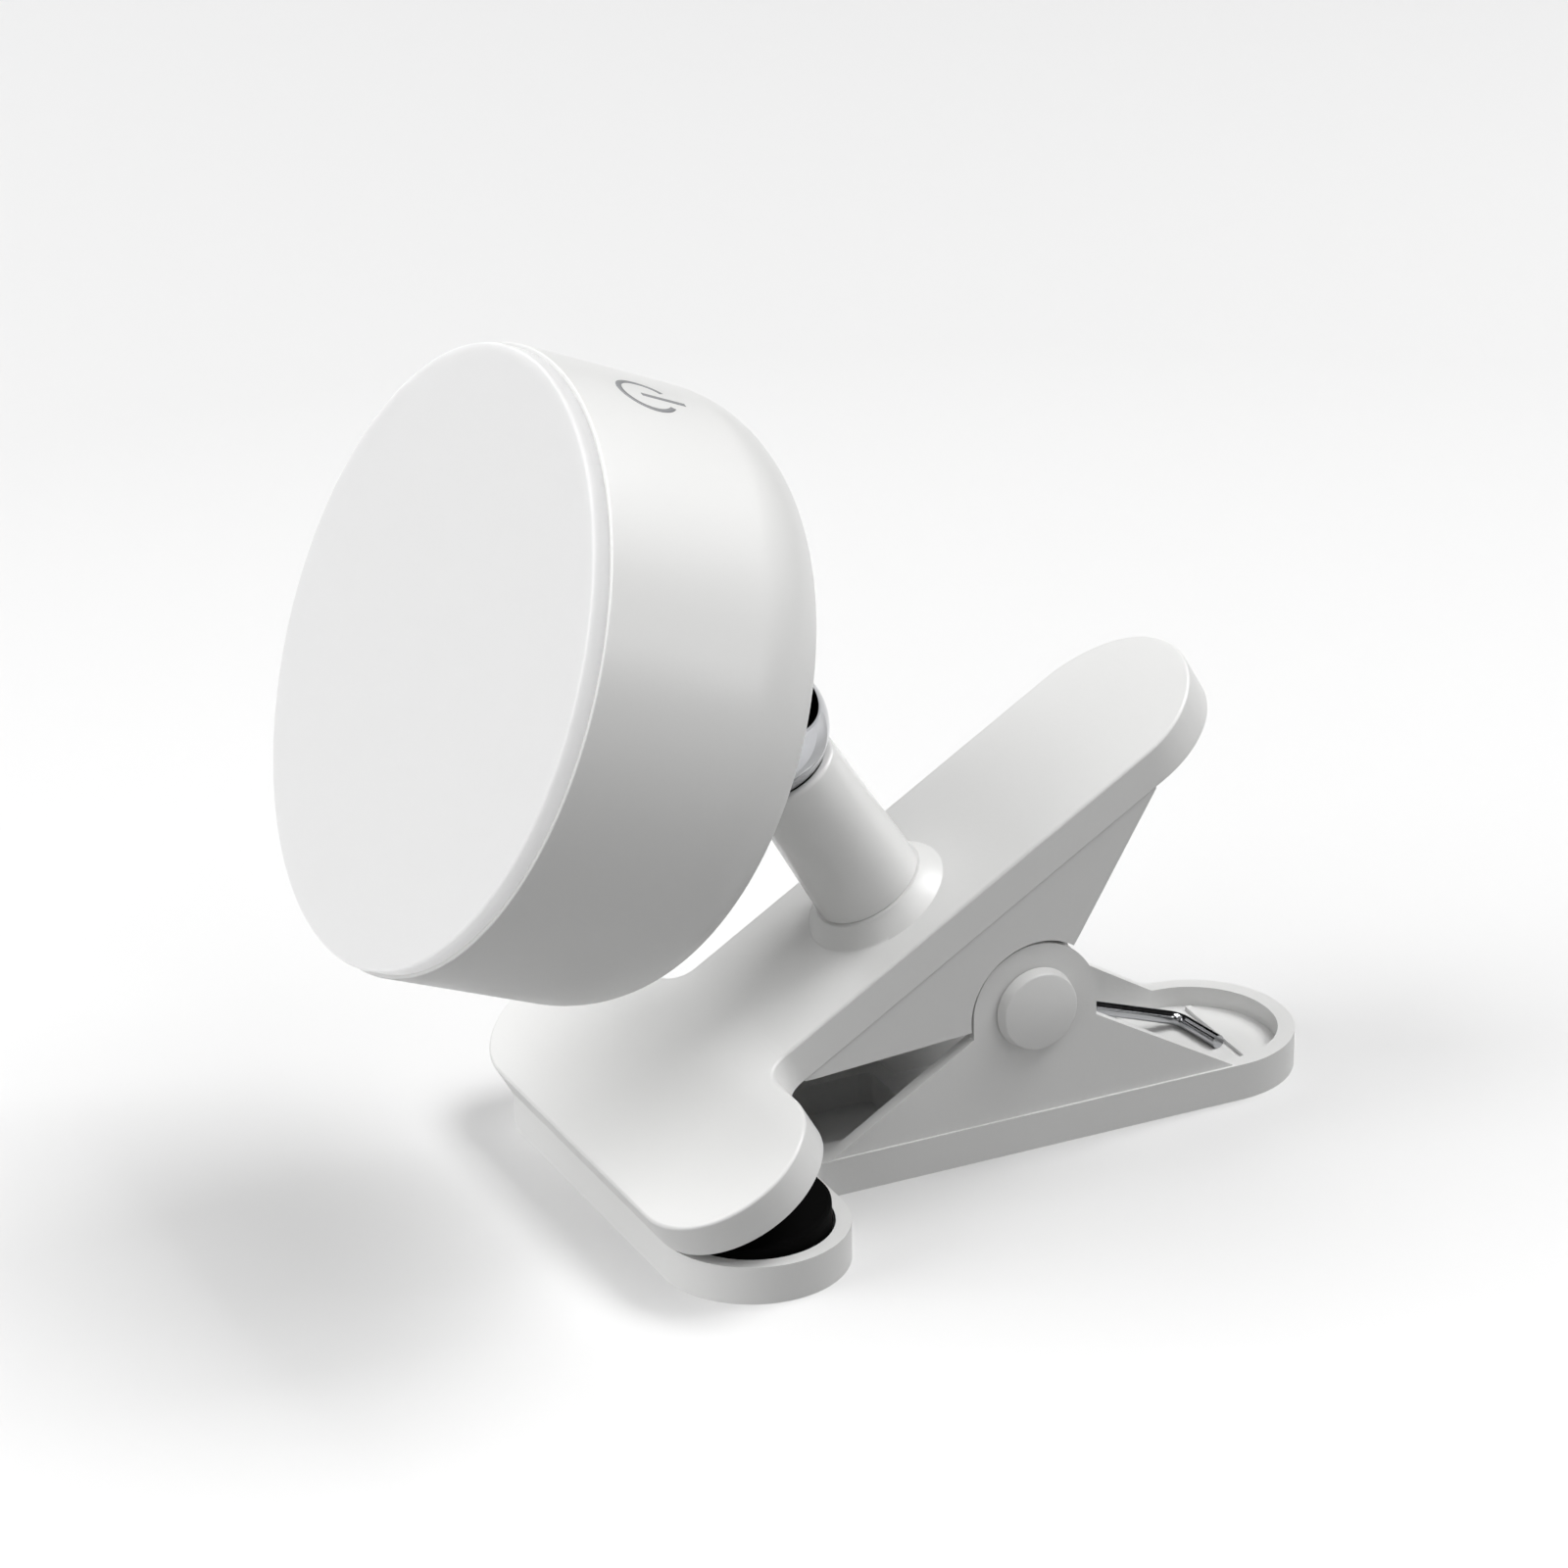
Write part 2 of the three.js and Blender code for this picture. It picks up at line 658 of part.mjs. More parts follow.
const line = springLine();
console.log("least gap in the spring, mm:", leastGap(line).toFixed(2));
const section = outline(Array.from({ length: wireSides }, (_, i) => {
  const a = (2 * Math.PI * i) / wireSides;
  return [wireRadius * Math.cos(a), wireRadius * Math.sin(a)];
}));
const coilGroup = new THREE.Group();
coilGroup.position.z = pivotHeight;
world.add(coilGroup);
const wire = new THREE.ExtrudeGeometry(section, {
  steps: line.length - 1, bevelEnabled: false, extrudePath: new Wire(line),
});
place(coilGroup, "torsion_spring", solid(wire), chrome);

// Post, in a frame at the ball's centre whose Z runs up its axis

const post = new THREE.Group();
post.position.set(0, -ballForward, top + ballRise);
post.rotation.x = rad(postLeanDeg);
arm.add(post);

const seatRadius = ballRadius + gap;
const depthAt = (r) => Math.sqrt(seatRadius ** 2 - r ** 2);

function postTube() {
  return turned([
    [tubeBore, -tubeLow], [tubeLowRadius, -tubeLow],
    ...quarter(tubeHighRadius - tubeEdge, -tubeHigh - tubeEdge, tubeEdge, tubeEdge, 0, 90, arcSteps / 2),
    [Math.sqrt(seatRadius ** 2 - tubeHigh ** 2), -tubeHigh],
    [tubeBore, -depthAt(tubeBore)], [tubeBore, -tubeLow],
  ]);
}

function steelBall() {
  return cut(
    turned([...quarter(0, 0, ballRadius, ballRadius, -90, 90, ballSteps / 2)].map(([r, z]) => [Math.max(r, 0), z]), ballSteps),
    rod(postScrewRadius + gap, -ballRadius - overrun, -postScrewTip + gap));
}

place(post, "post_tube", postTube(), whiteAbs);
place(post, "steel_ball", steelBall(), chrome);
const postScrewGroup = new THREE.Group();
postScrewGroup.position.z = bearing - gap;
post.add(postScrewGroup);
const postScrewLength = gap - bearing - postScrewTip;
place(postScrewGroup, "post_screw", screw(postScrewHead, postScrewHeadHeight, postScrewRadius, postScrewLength), steel);

// Head: Z runs along its axis to the light, Y towards the touch switch

const head = new THREE.Group();
head.rotation.set(rad(headTiltDeg), 0, rad(-headSpinDeg));
post.add(head);

const wallAt = seamAt - wallLength;
const backAt = wallAt - shoulderLength;
const floorAt = backAt + housingWall;
const wallRadius = housingRadius - housingDraft;
const flatRadius = wallRadius - shoulderRadial;
const insideRadius = wallRadius - housingWall;
const hubFlare = hubFootRadius - hubRadius;
const holeRadius = magnetRadius + gap;
const usbAt = controlAt + controlThickness + gap + usbHeight / 2;
const carrierRadius = insideRadius - carrierClear;
const carrierScrewRing = carrierRadius - carrierScrewInset;
const carrierScrewSide = controlHalf + controlSideClear + carrierBoss;
const carrierScrewAlong = Math.sqrt(carrierScrewRing ** 2 - carrierScrewSide ** 2);
const carrierScrewSpots = [1, -1].flatMap((x) => [1, -1].map((y) => [x * carrierScrewSide, y * carrierScrewAlong]));
const boardRadius = carrierScrewRing - smallScrewHead - boardClear;
const ledRing = boardRadius - ledInset;
const controlOuter = insideRadius - controlClear;
const controlInner = controlOuter - controlLength;
const controlPostHalf = controlHalf - controlPostInset;
const controlPostRing = controlOuter - controlPostBack;
const batteryLength = 2 * (insideRadius - batteryEndClear);
const batteryWidth = batteryWidthShare * batteryLength;

// A rectangle with round corners, centred on (x, y)
function rounded(width, height, radius, x = 0, y = 0) {
  const a = width / 2 - radius;
  const b = height / 2 - radius;
  const s = new THREE.Shape();
  s.moveTo(x - a, y - b - radius);
  s.lineTo(x + a, y - b - radius);
  s.absarc(x + a, y - b, radius, -Math.PI / 2, 0);
  s.lineTo(x + a + radius, y + b);
  s.absarc(x + a, y + b, radius, 0, Math.PI / 2);
  s.lineTo(x - a, y + b + radius);
  s.absarc(x - a, y + b, radius, Math.PI / 2, Math.PI);
  s.lineTo(x - a - radius, y - b);
  s.absarc(x - a, y - b, radius, Math.PI, 1.5 * Math.PI);
  return s;
}

// An outline drawn in X and Z of the head, from one distance to another towards its underside
function inlet(shape, near, far) {
  const g = new THREE.ExtrudeGeometry(shape, { depth: far - near, bevelEnabled: false, curveSegments: arcSteps });
  g.translate(0, 0, near);
  g.rotateX(Math.PI / 2);
  return solid(g);
}

function headHousing() {
  const shell = turned([
    [holeRadius, hubAt],
    ...quarter(hubRadius - hubEdge, hubAt + hubEdge, hubEdge, hubEdge, -90, 0, arcSteps / 2),
    ...quarter(hubFootRadius, backAt - hubFlare, hubFlare, hubFlare, 180, 90, arcSteps),
    ...quarter(flatRadius, wallAt, shoulderRadial, shoulderLength, -90, 0, arcSteps + arcSteps / 2),
    [housingRadius, seamAt],
    [housingRadius - housingWall, seamAt],
    ...quarter(flatRadius, wallAt, shoulderRadial - housingWall, shoulderLength - housingWall, 0, -90, arcSteps),
    [holeRadius, floorAt],
    [holeRadius, hubAt],
  ]);
  const screwPosts = carrierScrewSpots.map(([x, y]) =>
    rod(carrierBoss, floorAt - gap, carrierAt - gap).translate([x, y, 0]));
  const pilots = carrierScrewSpots.map(([x, y]) =>
    rod(smallScrewRadius + gap, carrierAt - carrierScrewDepth - gap, carrierAt + overrun, arcSteps).translate([x, y, 0]));
  const boardPosts = [-controlPostHalf, controlPostHalf].map((x) =>
    rod(controlPostRadius, floorAt - gap, controlAt - gap).translate([x, -controlPostRing, 0]));
  const usbHole = inlet(
    rounded(usbWidth + 2 * gap, usbHeight + 2 * gap, usbHeight / 2 + gap, 0, usbAt),
    insideRadius - overrun, housingRadius + overrun);
  return cut(join(shell, ...screwPosts, ...boardPosts), ...pilots, usbHole);
}

function diffuser() {
  const front = seamAt + diffuserProud;
  const outer = housingRadius - diffuserStep;
  const skirtOuter = housingRadius - housingWall - gap;
  const skirtInner = skirtOuter - diffuserSkirtWall;
  return turned([
    [0, front], ...quarter(outer - diffuserEdge, front - diffuserEdge, diffuserEdge, diffuserEdge, 90, 0, arcSteps / 2),
    [outer, seamAt + gap], [skirtOuter, seamAt + gap], [skirtOuter, seamAt - diffuserSkirt],
    [skirtInner, seamAt - diffuserSkirt], [skirtInner, front - diffuserSkin], [0, front - diffuserSkin],
  ]);
}

function socketMagnet() {
  const near = hubAt + magnetLip;
  const edge = Math.sqrt(seatRadius ** 2 - near ** 2);
  const start = THREE.MathUtils.radToDeg(Math.acos(edge / seatRadius));
  return turned([
    ...quarter(0, 0, seatRadius, seatRadius, 90, start, arcSteps).map(([r, z], i) => (i === 0 ? [0, z] : [r, z])),
    [magnetRadius, near], [magnetRadius, floorAt], [0, floorAt],
  ]);
}

function usbPort() {
  const mouth = wallRadius - usbSetback;
  const corner = usbHeight / 2;
  const shell = inlet(rounded(usbWidth, usbHeight, corner, 0, usbAt), mouth - usbDepth, mouth);
  const cavity = inlet(
    rounded(usbWidth - 2 * usbShell, usbHeight - 2 * usbShell, corner - usbShell, 0, usbAt),
    mouth - usbDepth + 2 * usbShell, mouth + overrun);
  const tongue = inlet(
    rounded(usbWidth - 4 * usbShell - usbTongue, usbTongue, usbTongue / 2 - usbTongue / 10, 0, usbAt),
    mouth - usbDepth + usbShell, mouth - 2 * usbShell);
  return join(cut(shell, cavity), tongue);
}

function touchElectrode() {
  const outer = insideRadius - gap;
  const a = Math.PI / 2 - rad(touchHalfAngleDeg);
  const b = Math.PI / 2 + rad(touchHalfAngleDeg);
  const s = new THREE.Shape();
  s.absarc(0, 0, outer, a, b, false);
  s.absarc(0, 0, outer - touchThickness, b, a, true);
  return slab(s, touchLow, touchHigh);
}

const boardAt = carrierAt + carrierThickness + gap;
const ledAt = boardAt + boardThickness + gap;
const plateAt = floorAt + gap;
const batteryAt = plateAt + plateThickness + gap;

place(head, "head_housing", headHousing(), whiteAbs);
place(head, "diffuser", diffuser(), opal);
place(head, "socket_magnet", socketMagnet(), steel);
place(head, "magnet_plate", rod(plateRadius, plateAt, plateAt + plateThickness, roundSteps), steel);
place(head, "battery", slab(rounded(batteryLength, batteryWidth, batteryCorner), batteryAt, batteryAt + batteryThickness), film);
place(head, "control_board", slab(
  rounded(2 * controlHalf, controlOuter - controlInner, smallScrewRadius, 0, -(controlInner + controlOuter) / 2),
  controlAt, controlAt + controlThickness), resin);
place(head, "usb_port", usbPort(), steel);
place(head, "touch_electrode", touchElectrode(), copper);
place(head, "led_carrier", cut(
  rod(carrierRadius, carrierAt, carrierAt + carrierThickness, roundSteps),
  rod(carrierWireHole, carrierAt - overrun, carrierAt + carrierThickness + overrun, smallSteps * 2),
  ...carrierScrewSpots.map(([x, y]) =>
    rod(smallScrewRadius + gap, carrierAt - overrun, boardAt + overrun).translate([x, y, 0]))), whiteAbs);
place(head, "led_board", rod(boardRadius, boardAt, boardAt + boardThickness, roundSteps), board);
for (let i = 0; i < ledCount; i += 1) {
  const g = new THREE.Group();
  g.rotation.z = (2 * Math.PI * i) / ledCount;
  place(g, `led_${i + 1}`, block(
    ledRing - ledLength / 2, ledRing + ledLength / 2, -ledWidth / 2, ledWidth / 2, ledAt, ledAt + ledHeight), phosphor);
  head.add(g);
}
carrierScrewSpots.forEach(([x, y], i) => {
  const g = new THREE.Group();
  g.position.set(x, y, boardAt);
  g.rotation.x = Math.PI;
  place(g, `carrier_screw_${i + 1}`, screw(
    smallScrewHead, smallScrewHeadHeight, smallScrewRadius, carrierThickness + gap + carrierScrewDepth - gap), steel);
  head.add(g);
});

export default world;
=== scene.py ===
import math
import bpy
import bmesh
from mathutils import Matrix, Vector


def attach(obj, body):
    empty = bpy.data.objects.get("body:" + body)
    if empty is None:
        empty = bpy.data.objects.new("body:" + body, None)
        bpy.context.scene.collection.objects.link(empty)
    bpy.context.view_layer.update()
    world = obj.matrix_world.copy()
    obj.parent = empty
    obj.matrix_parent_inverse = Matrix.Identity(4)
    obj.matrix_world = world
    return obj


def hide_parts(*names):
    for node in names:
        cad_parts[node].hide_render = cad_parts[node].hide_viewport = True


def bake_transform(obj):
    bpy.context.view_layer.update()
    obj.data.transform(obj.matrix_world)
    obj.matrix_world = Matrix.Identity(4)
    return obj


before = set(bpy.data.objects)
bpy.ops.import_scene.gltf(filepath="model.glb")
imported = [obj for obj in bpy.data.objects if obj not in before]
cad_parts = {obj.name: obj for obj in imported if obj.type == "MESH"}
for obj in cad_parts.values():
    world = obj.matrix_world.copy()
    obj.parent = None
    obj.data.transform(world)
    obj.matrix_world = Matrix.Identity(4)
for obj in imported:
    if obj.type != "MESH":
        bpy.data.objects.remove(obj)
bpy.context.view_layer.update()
scene = bpy.context.scene

# Shapes are drawn in mm in the frame of the arm, post or head that carries them.
# +Z is up, the jaws point along -Y, and x = 0 halves the clip.
clipPlaces = {"pivotHeight": 19.5, "armTilt": 29.6, "armTop": 20.0}
headPlaces = {"ballForward": 7.8, "ballRise": 29.6, "postLean": 1.8, "headTilt": 36.1, "headTurn": 9.0}

groundFrame = Matrix.Scale(0.001, 4)
pivotFrame = groundFrame @ Matrix.Translation((0, 0, clipPlaces["pivotHeight"]))
armFrame = pivotFrame @ Matrix.Rotation(math.radians(clipPlaces["armTilt"]), 4, "X")
ballHeight = clipPlaces["armTop"] + headPlaces["ballRise"]
ballFrame = (armFrame
             @ Matrix.Translation((0, -headPlaces["ballForward"], ballHeight))
             @ Matrix.Rotation(math.radians(headPlaces["postLean"]), 4, "X"))
headFrame = (ballFrame
             @ Matrix.Rotation(math.radians(headPlaces["headTilt"]), 4, "X")
             @ Matrix.Rotation(math.radians(-headPlaces["headTurn"]), 4, "Z"))


# Camera at the photograph's place: 121 mm lens on a 36 mm sensor, about 0.67 m away
cameraView = {
    "place": (0.525223, -0.284820, 0.305975), "focal": 121.167, "sensor": 36,
    "azimuth": 63.947, "elevation": 23.588, "roll": -0.941,
}


def addCamera(v):
    az, el, roll = (math.radians(v[k]) for k in ("azimuth", "elevation", "roll"))
    back = Vector((math.sin(az) * math.cos(el), -math.cos(az) * math.cos(el), math.sin(el)))
    level = Vector((math.cos(az), math.sin(az), 0))
    upright = back.cross(level)
    right = level * math.cos(roll) + upright * math.sin(roll)
    up = upright * math.cos(roll) - level * math.sin(roll)
    camera = bpy.data.objects.new("camera", bpy.data.cameras.new("camera"))
    camera.data.lens = v["focal"]
    camera.data.sensor_width = v["sensor"]
    turn = Matrix((right, up, back)).transposed().to_4x4()
    camera.matrix_world = Matrix.Translation(v["place"]) @ turn
    scene.collection.objects.link(camera)
    scene.camera = camera


addCamera(cameraView)
print("camera set")


# Materials

def linear(code):
    channels = [int(code[i:i + 2], 16) / 255 for i in (1, 3, 5)]
    return [c / 12.92 if c <= 0.04045 else ((c + 0.055) / 1.055) ** 2.4 for c in channels] + [1]


def addNode(tree, kind, links=(), values=None, **settings):
    # links are (another node's output, this node's input); values are fixed inputs, by name or number
    node = tree.nodes.new(kind)
    for key, value in settings.items():
        setattr(node, key, value)
    for key, value in (values or {}).items():
        node.inputs[key].default_value = value
    for output, name in links:
        tree.links.new(output, node.inputs[name])
    return node


def startMaterial(name, base, rough, metal=0.0, ior=None):
    material = bpy.data.materials.new(name)
    material.use_nodes = True
    tree = material.node_tree
    shader = tree.nodes["Principled BSDF"]
    shader.inputs["Base Color"].default_value = linear(base)
    shader.inputs["Roughness"].default_value = rough
    shader.inputs["Metallic"].default_value = metal
    if ior:
        shader.inputs["IOR"].default_value = ior
    return material, tree, shader


def grainOn(tree, shader, f, detail=2.0):
    # grain and depth in mm; spread is how far the roughness strays from its mean
    where = addNode(tree, "ShaderNodeTexCoord")
    fine = addNode(tree, "ShaderNodeTexNoise", [(where.outputs["Object"], "Vector")],
                   {"Scale": 1000 / f["grain"], "Detail": detail, "Roughness": 0.55})
    bump = addNode(tree, "ShaderNodeBump", [(fine.outputs["Fac"], "Height")],
                   {"Strength": 0.35, "Distance": f["depth"] / 1000})
    tree.links.new(bump.outputs["Normal"], shader.inputs["Normal"])
    cloud = addNode(tree, "ShaderNodeTexNoise", [(where.outputs["Object"], "Vector")],
                    {"Scale": 120.0, "Detail": 3.0})      # patches of about 8 mm
    low, high = f["rough"] - f["spread"], f["rough"] + f["spread"]
    span = addNode(tree, "ShaderNodeMapRange", [(cloud.outputs["Fac"], "Value")],
                   {"From Min": 0.3, "From Max": 0.7, "To Min": low, "To Max": high})
    tree.links.new(span.outputs["Result"], shader.inputs["Roughness"])
    return where


absFinish = {"base": "#E0E0DF", "rough": 0.31, "grain": 0.55, "depth": 0.025, "spread": 0.03}


def mouldedAbs(f):
    # White ABS from a finely sparked mould: an even satin with broad, weak highlights.
    # The real spark grain is near 0.1 mm; it is drawn 0.55 mm coarse so that it shows.
    material, tree, shader = startMaterial("white moulded ABS", f["base"], f["rough"], ior=1.53)
    grainOn(tree, shader, f)
    return material


polishedFinish = {"base": "#E1E1E0", "rough": 0.17, "grain": 4.0, "depth": 0.01, "spread": 0.02}


def polishedAbs(f):
    # White ABS from a polished mould: glossier, with the slow waves of moulded plastic
    material, tree, shader = startMaterial("polished white ABS", f["base"], f["rough"], ior=1.53)
    grainOn(tree, shader, f)
    return material


# glow is the strength of a painted glow: the lens emits a weak white light of its own
opalFinish = {
    "base": "#989898", "rough": 0.42, "grain": 3.0, "depth": 0.006, "spread": 0.02,
    "gloss": 0.35, "milk": 0.9, "milkReach": 4.0, "glow": 0.44,
}


def opalPolycarbonate(f):
    # Milky polycarbonate: light spreads far inside it, so its face and its edge look equally bright.
    # The spread is more than scattering over a few mm gives; the rest is a painted glow, a weak emission of
    # the lens's own that makes its face and edge equally bright.
    material, tree, shader = startMaterial("opal polycarbonate", f["base"], f["rough"], ior=1.58)
    grainOn(tree, shader, f)
    shader.inputs["Specular IOR Level"].default_value = f["gloss"]
    # Painted glow: a weak white emission that brightens the lens evenly, standing in for light spread inside
    # it
    shader.inputs["Emission Color"].default_value = linear("#FFFFFF")
    shader.inputs["Emission Strength"].default_value = f["glow"]
    shader.inputs["Subsurface Weight"].default_value = f["milk"]
    shader.inputs["Subsurface Radius"].default_value = (1.0, 1.0, 1.0)
    shader.inputs["Subsurface Scale"].default_value = f["milkReach"] / 1000
    return material


rubberFinish = {"base": "#030303", "rough": 0.9, "grain": 0.5, "depth": 0.02, "spread": 0.06, "gloss": 0.1}


def siliconeRubber(f):
    # Black silicone pads, moulded matt: no highlight shows on them
    material, tree, shader = startMaterial("black silicone rubber", f["base"], f["rough"], ior=1.43)
    grainOn(tree, shader, f, detail=4.0)
    shader.inputs["Specular IOR Level"].default_value = f["gloss"]
    return material


chromeFinish = {"base": "#C2C3C6", "rough": 0.05, "grain": 8.0, "depth": 0.002, "spread": 0.02}


def platedChrome(f):
    # Bright chrome plate on steel: a mirror with a faint haze from handling
    material, tree, shader = startMaterial("bright chrome plate", f["base"], f["rough"], metal=1.0)
    grainOn(tree, shader, f)
    return material


wireFinish = {"base": "#B4B5B8", "rough": 0.15, "mark": 0.6, "spread": 0.05}


def drawnWire(f):
    # Nickelled spring wire: faint draw marks break the highlight, drawn 0.6 mm coarse so that they show
    material, tree, shader = startMaterial("nickelled spring wire", f["base"], f["rough"], metal=1.0)
    where = addNode(tree, "ShaderNodeTexCoord")
    marks = addNode(tree, "ShaderNodeTexNoise", [(where.outputs["Object"], "Vector")],
                    {"Scale": 1000 / f["mark"], "Detail": 4.0})
    span = addNode(tree, "ShaderNodeMapRange", [(marks.outputs["Fac"], "Value")],
                   {"To Min": f["rough"] - f["spread"], "To Max": f["rough"] + f["spread"]})
    tree.links.new(span.outputs["Result"], shader.inputs["Roughness"])
    return material


zincFinish = {"base": "#A9ABAD", "rough": 0.3, "grain": 0.8, "depth": 0.004, "spread": 0.08}


def zincSteel(f):
    # Zinc-plated steel: cool grey metal with cloudy patches in its gloss
    material, tree, shader = startMaterial("zinc plated steel", f["base"], f["rough"], metal=1.0)
    grainOn(tree, shader, f)
    return material


inkFinish = {"base": "#8D8E90", "rough": 0.45, "grain": 0.4, "depth": 0.003, "spread": 0.05}


def padInk(f):
    # Grey pad-printing ink: flat, slightly duller than the plastic round it
    material, tree, shader = startMaterial("grey printing ink", f["base"], f["rough"], ior=1.5)
    grainOn(tree, shader, f)
    return material


maskFinish = {
    "white": "#E6E6DE", "green": "#17502B", "rough": 0.4, "grain": 1.2, "depth": 0.01, "spread": 0.05,
}


def solderMask(name, base, f):
    # Solder mask on glass-fibre board: the weave shows as a slow ripple
    material, tree, shader = startMaterial(name, base, f["rough"], ior=1.55)
    grainOn(tree, shader, f)
    return material


phosphorFinish = {"base": "#E8B93C", "rough": 0.5, "grain": 0.3, "depth": 0.01, "spread": 0.05}


def phosphorGel(f):
    # Phosphor in silicone over an LED chip: yellow and slightly grainy
    material, tree, shader = startMaterial("phosphor gel", f["base"], f["rough"], ior=1.41)
    grainOn(tree, shader, f)
    return material


foilFinish = {
    "cell": "#9EA6AE", "copper": "#B87447", "rough": 0.35, "grain": 2.0, "depth": 0.03, "spread": 0.08,
}


def crinkledFoil(name, base, f):
    # Thin foil with shallow crinkles from handling
    material, tree, shader = startMaterial(name, base, f["rough"], metal=1.0)
    grainOn(tree, shader, f)
    return material


satinAbs = mouldedAbs(absFinish)
glossAbs = polishedAbs(polishedFinish)
opal = opalPolycarbonate(opalFinish)
rubber = siliconeRubber(rubberFinish)
chrome = platedChrome(chromeFinish)
springWire = drawnWire(wireFinish)
zinc = zincSteel(zincFinish)
ink = padInk(inkFinish)
whiteMask = solderMask("white solder mask", maskFinish["white"], maskFinish)
greenMask = solderMask("green solder mask", maskFinish["green"], maskFinish)
phosphor = phosphorGel(phosphorFinish)
cellFoil = crinkledFoil("aluminium pouch foil", foilFinish["cell"], foilFinish)
copperFoil = crinkledFoil("copper foil", foilFinish["copper"], foilFinish)
print("materials made")


# Making shapes

def roundCorners(bm, corners, steps):
    # corners are (vertex, radius)
    for vert, radius in corners:
        if radius:
            bmesh.ops.bevel(bm, geom=[vert], offset=radius, offset_type="OFFSET", affect="VERTICES",
                            segments=steps, profile=0.5, material=-1)


def outlineFace(bm, corners, place, steps):
    # corners are (a, b, radius); place turns (a, b) into a point
    verts = [bm.verts.new(place(a, b)) for a, b, radius in corners]
    face = bm.faces.new(verts)
    roundCorners(bm, [(v, c[2]) for v, c in zip(verts, corners)], steps)
    return face


def toObject(name, bm, clean=True):
    if clean:
        bmesh.ops.remove_doubles(bm, verts=bm.verts, dist=1e-4)
        bmesh.ops.recalc_face_normals(bm, faces=bm.faces)
    mesh = bpy.data.meshes.new(name)
    bm.to_mesh(mesh)
    bm.free()
    obj = bpy.data.objects.new(name, mesh)
    scene.collection.objects.link(obj)
    return obj


def raiseFaces(bm, shift):
    # Every face is extruded and the new end moved; its vertices come back
    raised = bmesh.ops.extrude_face_region(bm, geom=bm.faces[:])
    fresh = [v for v in raised["geom"] if isinstance(v, bmesh.types.BMVert)]
    bmesh.ops.translate(bm, verts=fresh, vec=shift)
    return fresh


def flatBlank(name, corners, low, high, topRound=0.0, steps=12):
    # An outline in plan, raised from low to high, with its top edge rounded
    bm = bmesh.new()
    outlineFace(bm, corners, lambda a, b: (a, b, low), steps)
    bmesh.ops.remove_doubles(bm, verts=bm.verts, dist=0.03)      # where two roundings meet
    raiseFaces(bm, (0, 0, high - low))
    if topRound:
        rim = [e for e in bm.edges if all(abs(v.co.z - high) < 1e-6 for v in e.verts)]
        bmesh.ops.bevel(bm, geom=rim, offset=topRound, offset_type="OFFSET", affect="EDGES",
                        segments=5, profile=0.5, material=-1)
    return toObject(name, bm)


def sideBlank(name, corners, low, high, steps=12):
    # An outline in side view (y, z), carried across from x = low to x = high
    bm = bmesh.new()
    outlineFace(bm, corners, lambda a, b: (low, a, b), steps)
    raiseFaces(bm, (high - low, 0, 0))
    return toObject(name, bm)


def boxBlank(name, low, high):
    bm = bmesh.new()
    bmesh.ops.create_cube(bm, size=1)
    bmesh.ops.scale(bm, vec=[h - l for l, h in zip(low, high)], verts=bm.verts)
    bmesh.ops.translate(bm, vec=[(h + l) / 2 for l, h in zip(low, high)], verts=bm.verts)
    return toObject(name, bm)


def rodBlank(name, radius, low, high, at=(0, 0), steps=64):
    bm = bmesh.new()
    bmesh.ops.create_cone(bm, cap_ends=True, segments=steps, radius1=radius, radius2=radius, depth=high - low)
    bmesh.ops.translate(bm, vec=(at[0], at[1], (high + low) / 2), verts=bm.verts)
    return toObject(name, bm)


def crossRodBlank(name, radius, low, high, at, steps=96):
    bm = bmesh.new()
    bmesh.ops.create_cone(bm, cap_ends=True, segments=steps, radius1=radius, radius2=radius, depth=high - low)
    bmesh.ops.rotate(bm, cent=(0, 0, 0), matrix=Matrix.Rotation(math.pi / 2, 3, "Y"), verts=bm.verts)
    bmesh.ops.translate(bm, vec=((high + low) / 2, at[0], at[1]), verts=bm.verts)
    return toObject(name, bm)


def spun(name, corners, steps=128, arcSteps=6):
    # corners are (radius, height, rounding) and go round the section once; a side on the axis is left open
    bm = bmesh.new()
    outlineFace(bm, corners, lambda a, b: (a, 0, b), arcSteps)
    bmesh.ops.delete(bm, geom=bm.faces[:], context="FACES_ONLY")
    onAxis = [e for e in bm.edges if all(abs(v.co.x) < 1e-6 for v in e.verts)]
    bmesh.ops.delete(bm, geom=onAxis, context="EDGES")
    bmesh.ops.spin(bm, geom=bm.verts[:] + bm.edges[:], cent=(0, 0, 0), axis=(0, 0, 1),
                   angle=2 * math.pi, steps=steps, use_merge=True)
    return toObject(name, bm)


def bake(obj):
    shape = obj.evaluated_get(bpy.context.evaluated_depsgraph_get())
    mesh = bpy.data.meshes.new_from_object(shape)
    worn = obj.data
    obj.modifiers.clear()
    obj.data = mesh
    bpy.data.meshes.remove(worn)
    return obj


def carve(obj, *steps):
    # steps are (operation, tool); the tools are used up
    for operation, tool in steps:
        change = obj.modifiers.new(tool.name, "BOOLEAN")
        change.operation = operation
        change.solver = "EXACT"
        change.object = tool
    bake(obj)
    for operation, tool in steps:
        bpy.data.objects.remove(tool)
    return obj


def breakEdges(obj, width, steps=3, angle=32):
    # The small radius that every moulded edge has, in mm
    soft = obj.modifiers.new("edges", "BEVEL")
    soft.width = width
    soft.segments = steps
    soft.limit_method = "ANGLE"
    soft.angle_limit = math.radians(angle)
    soft.use_clamp_overlap = True
    return bake(obj)


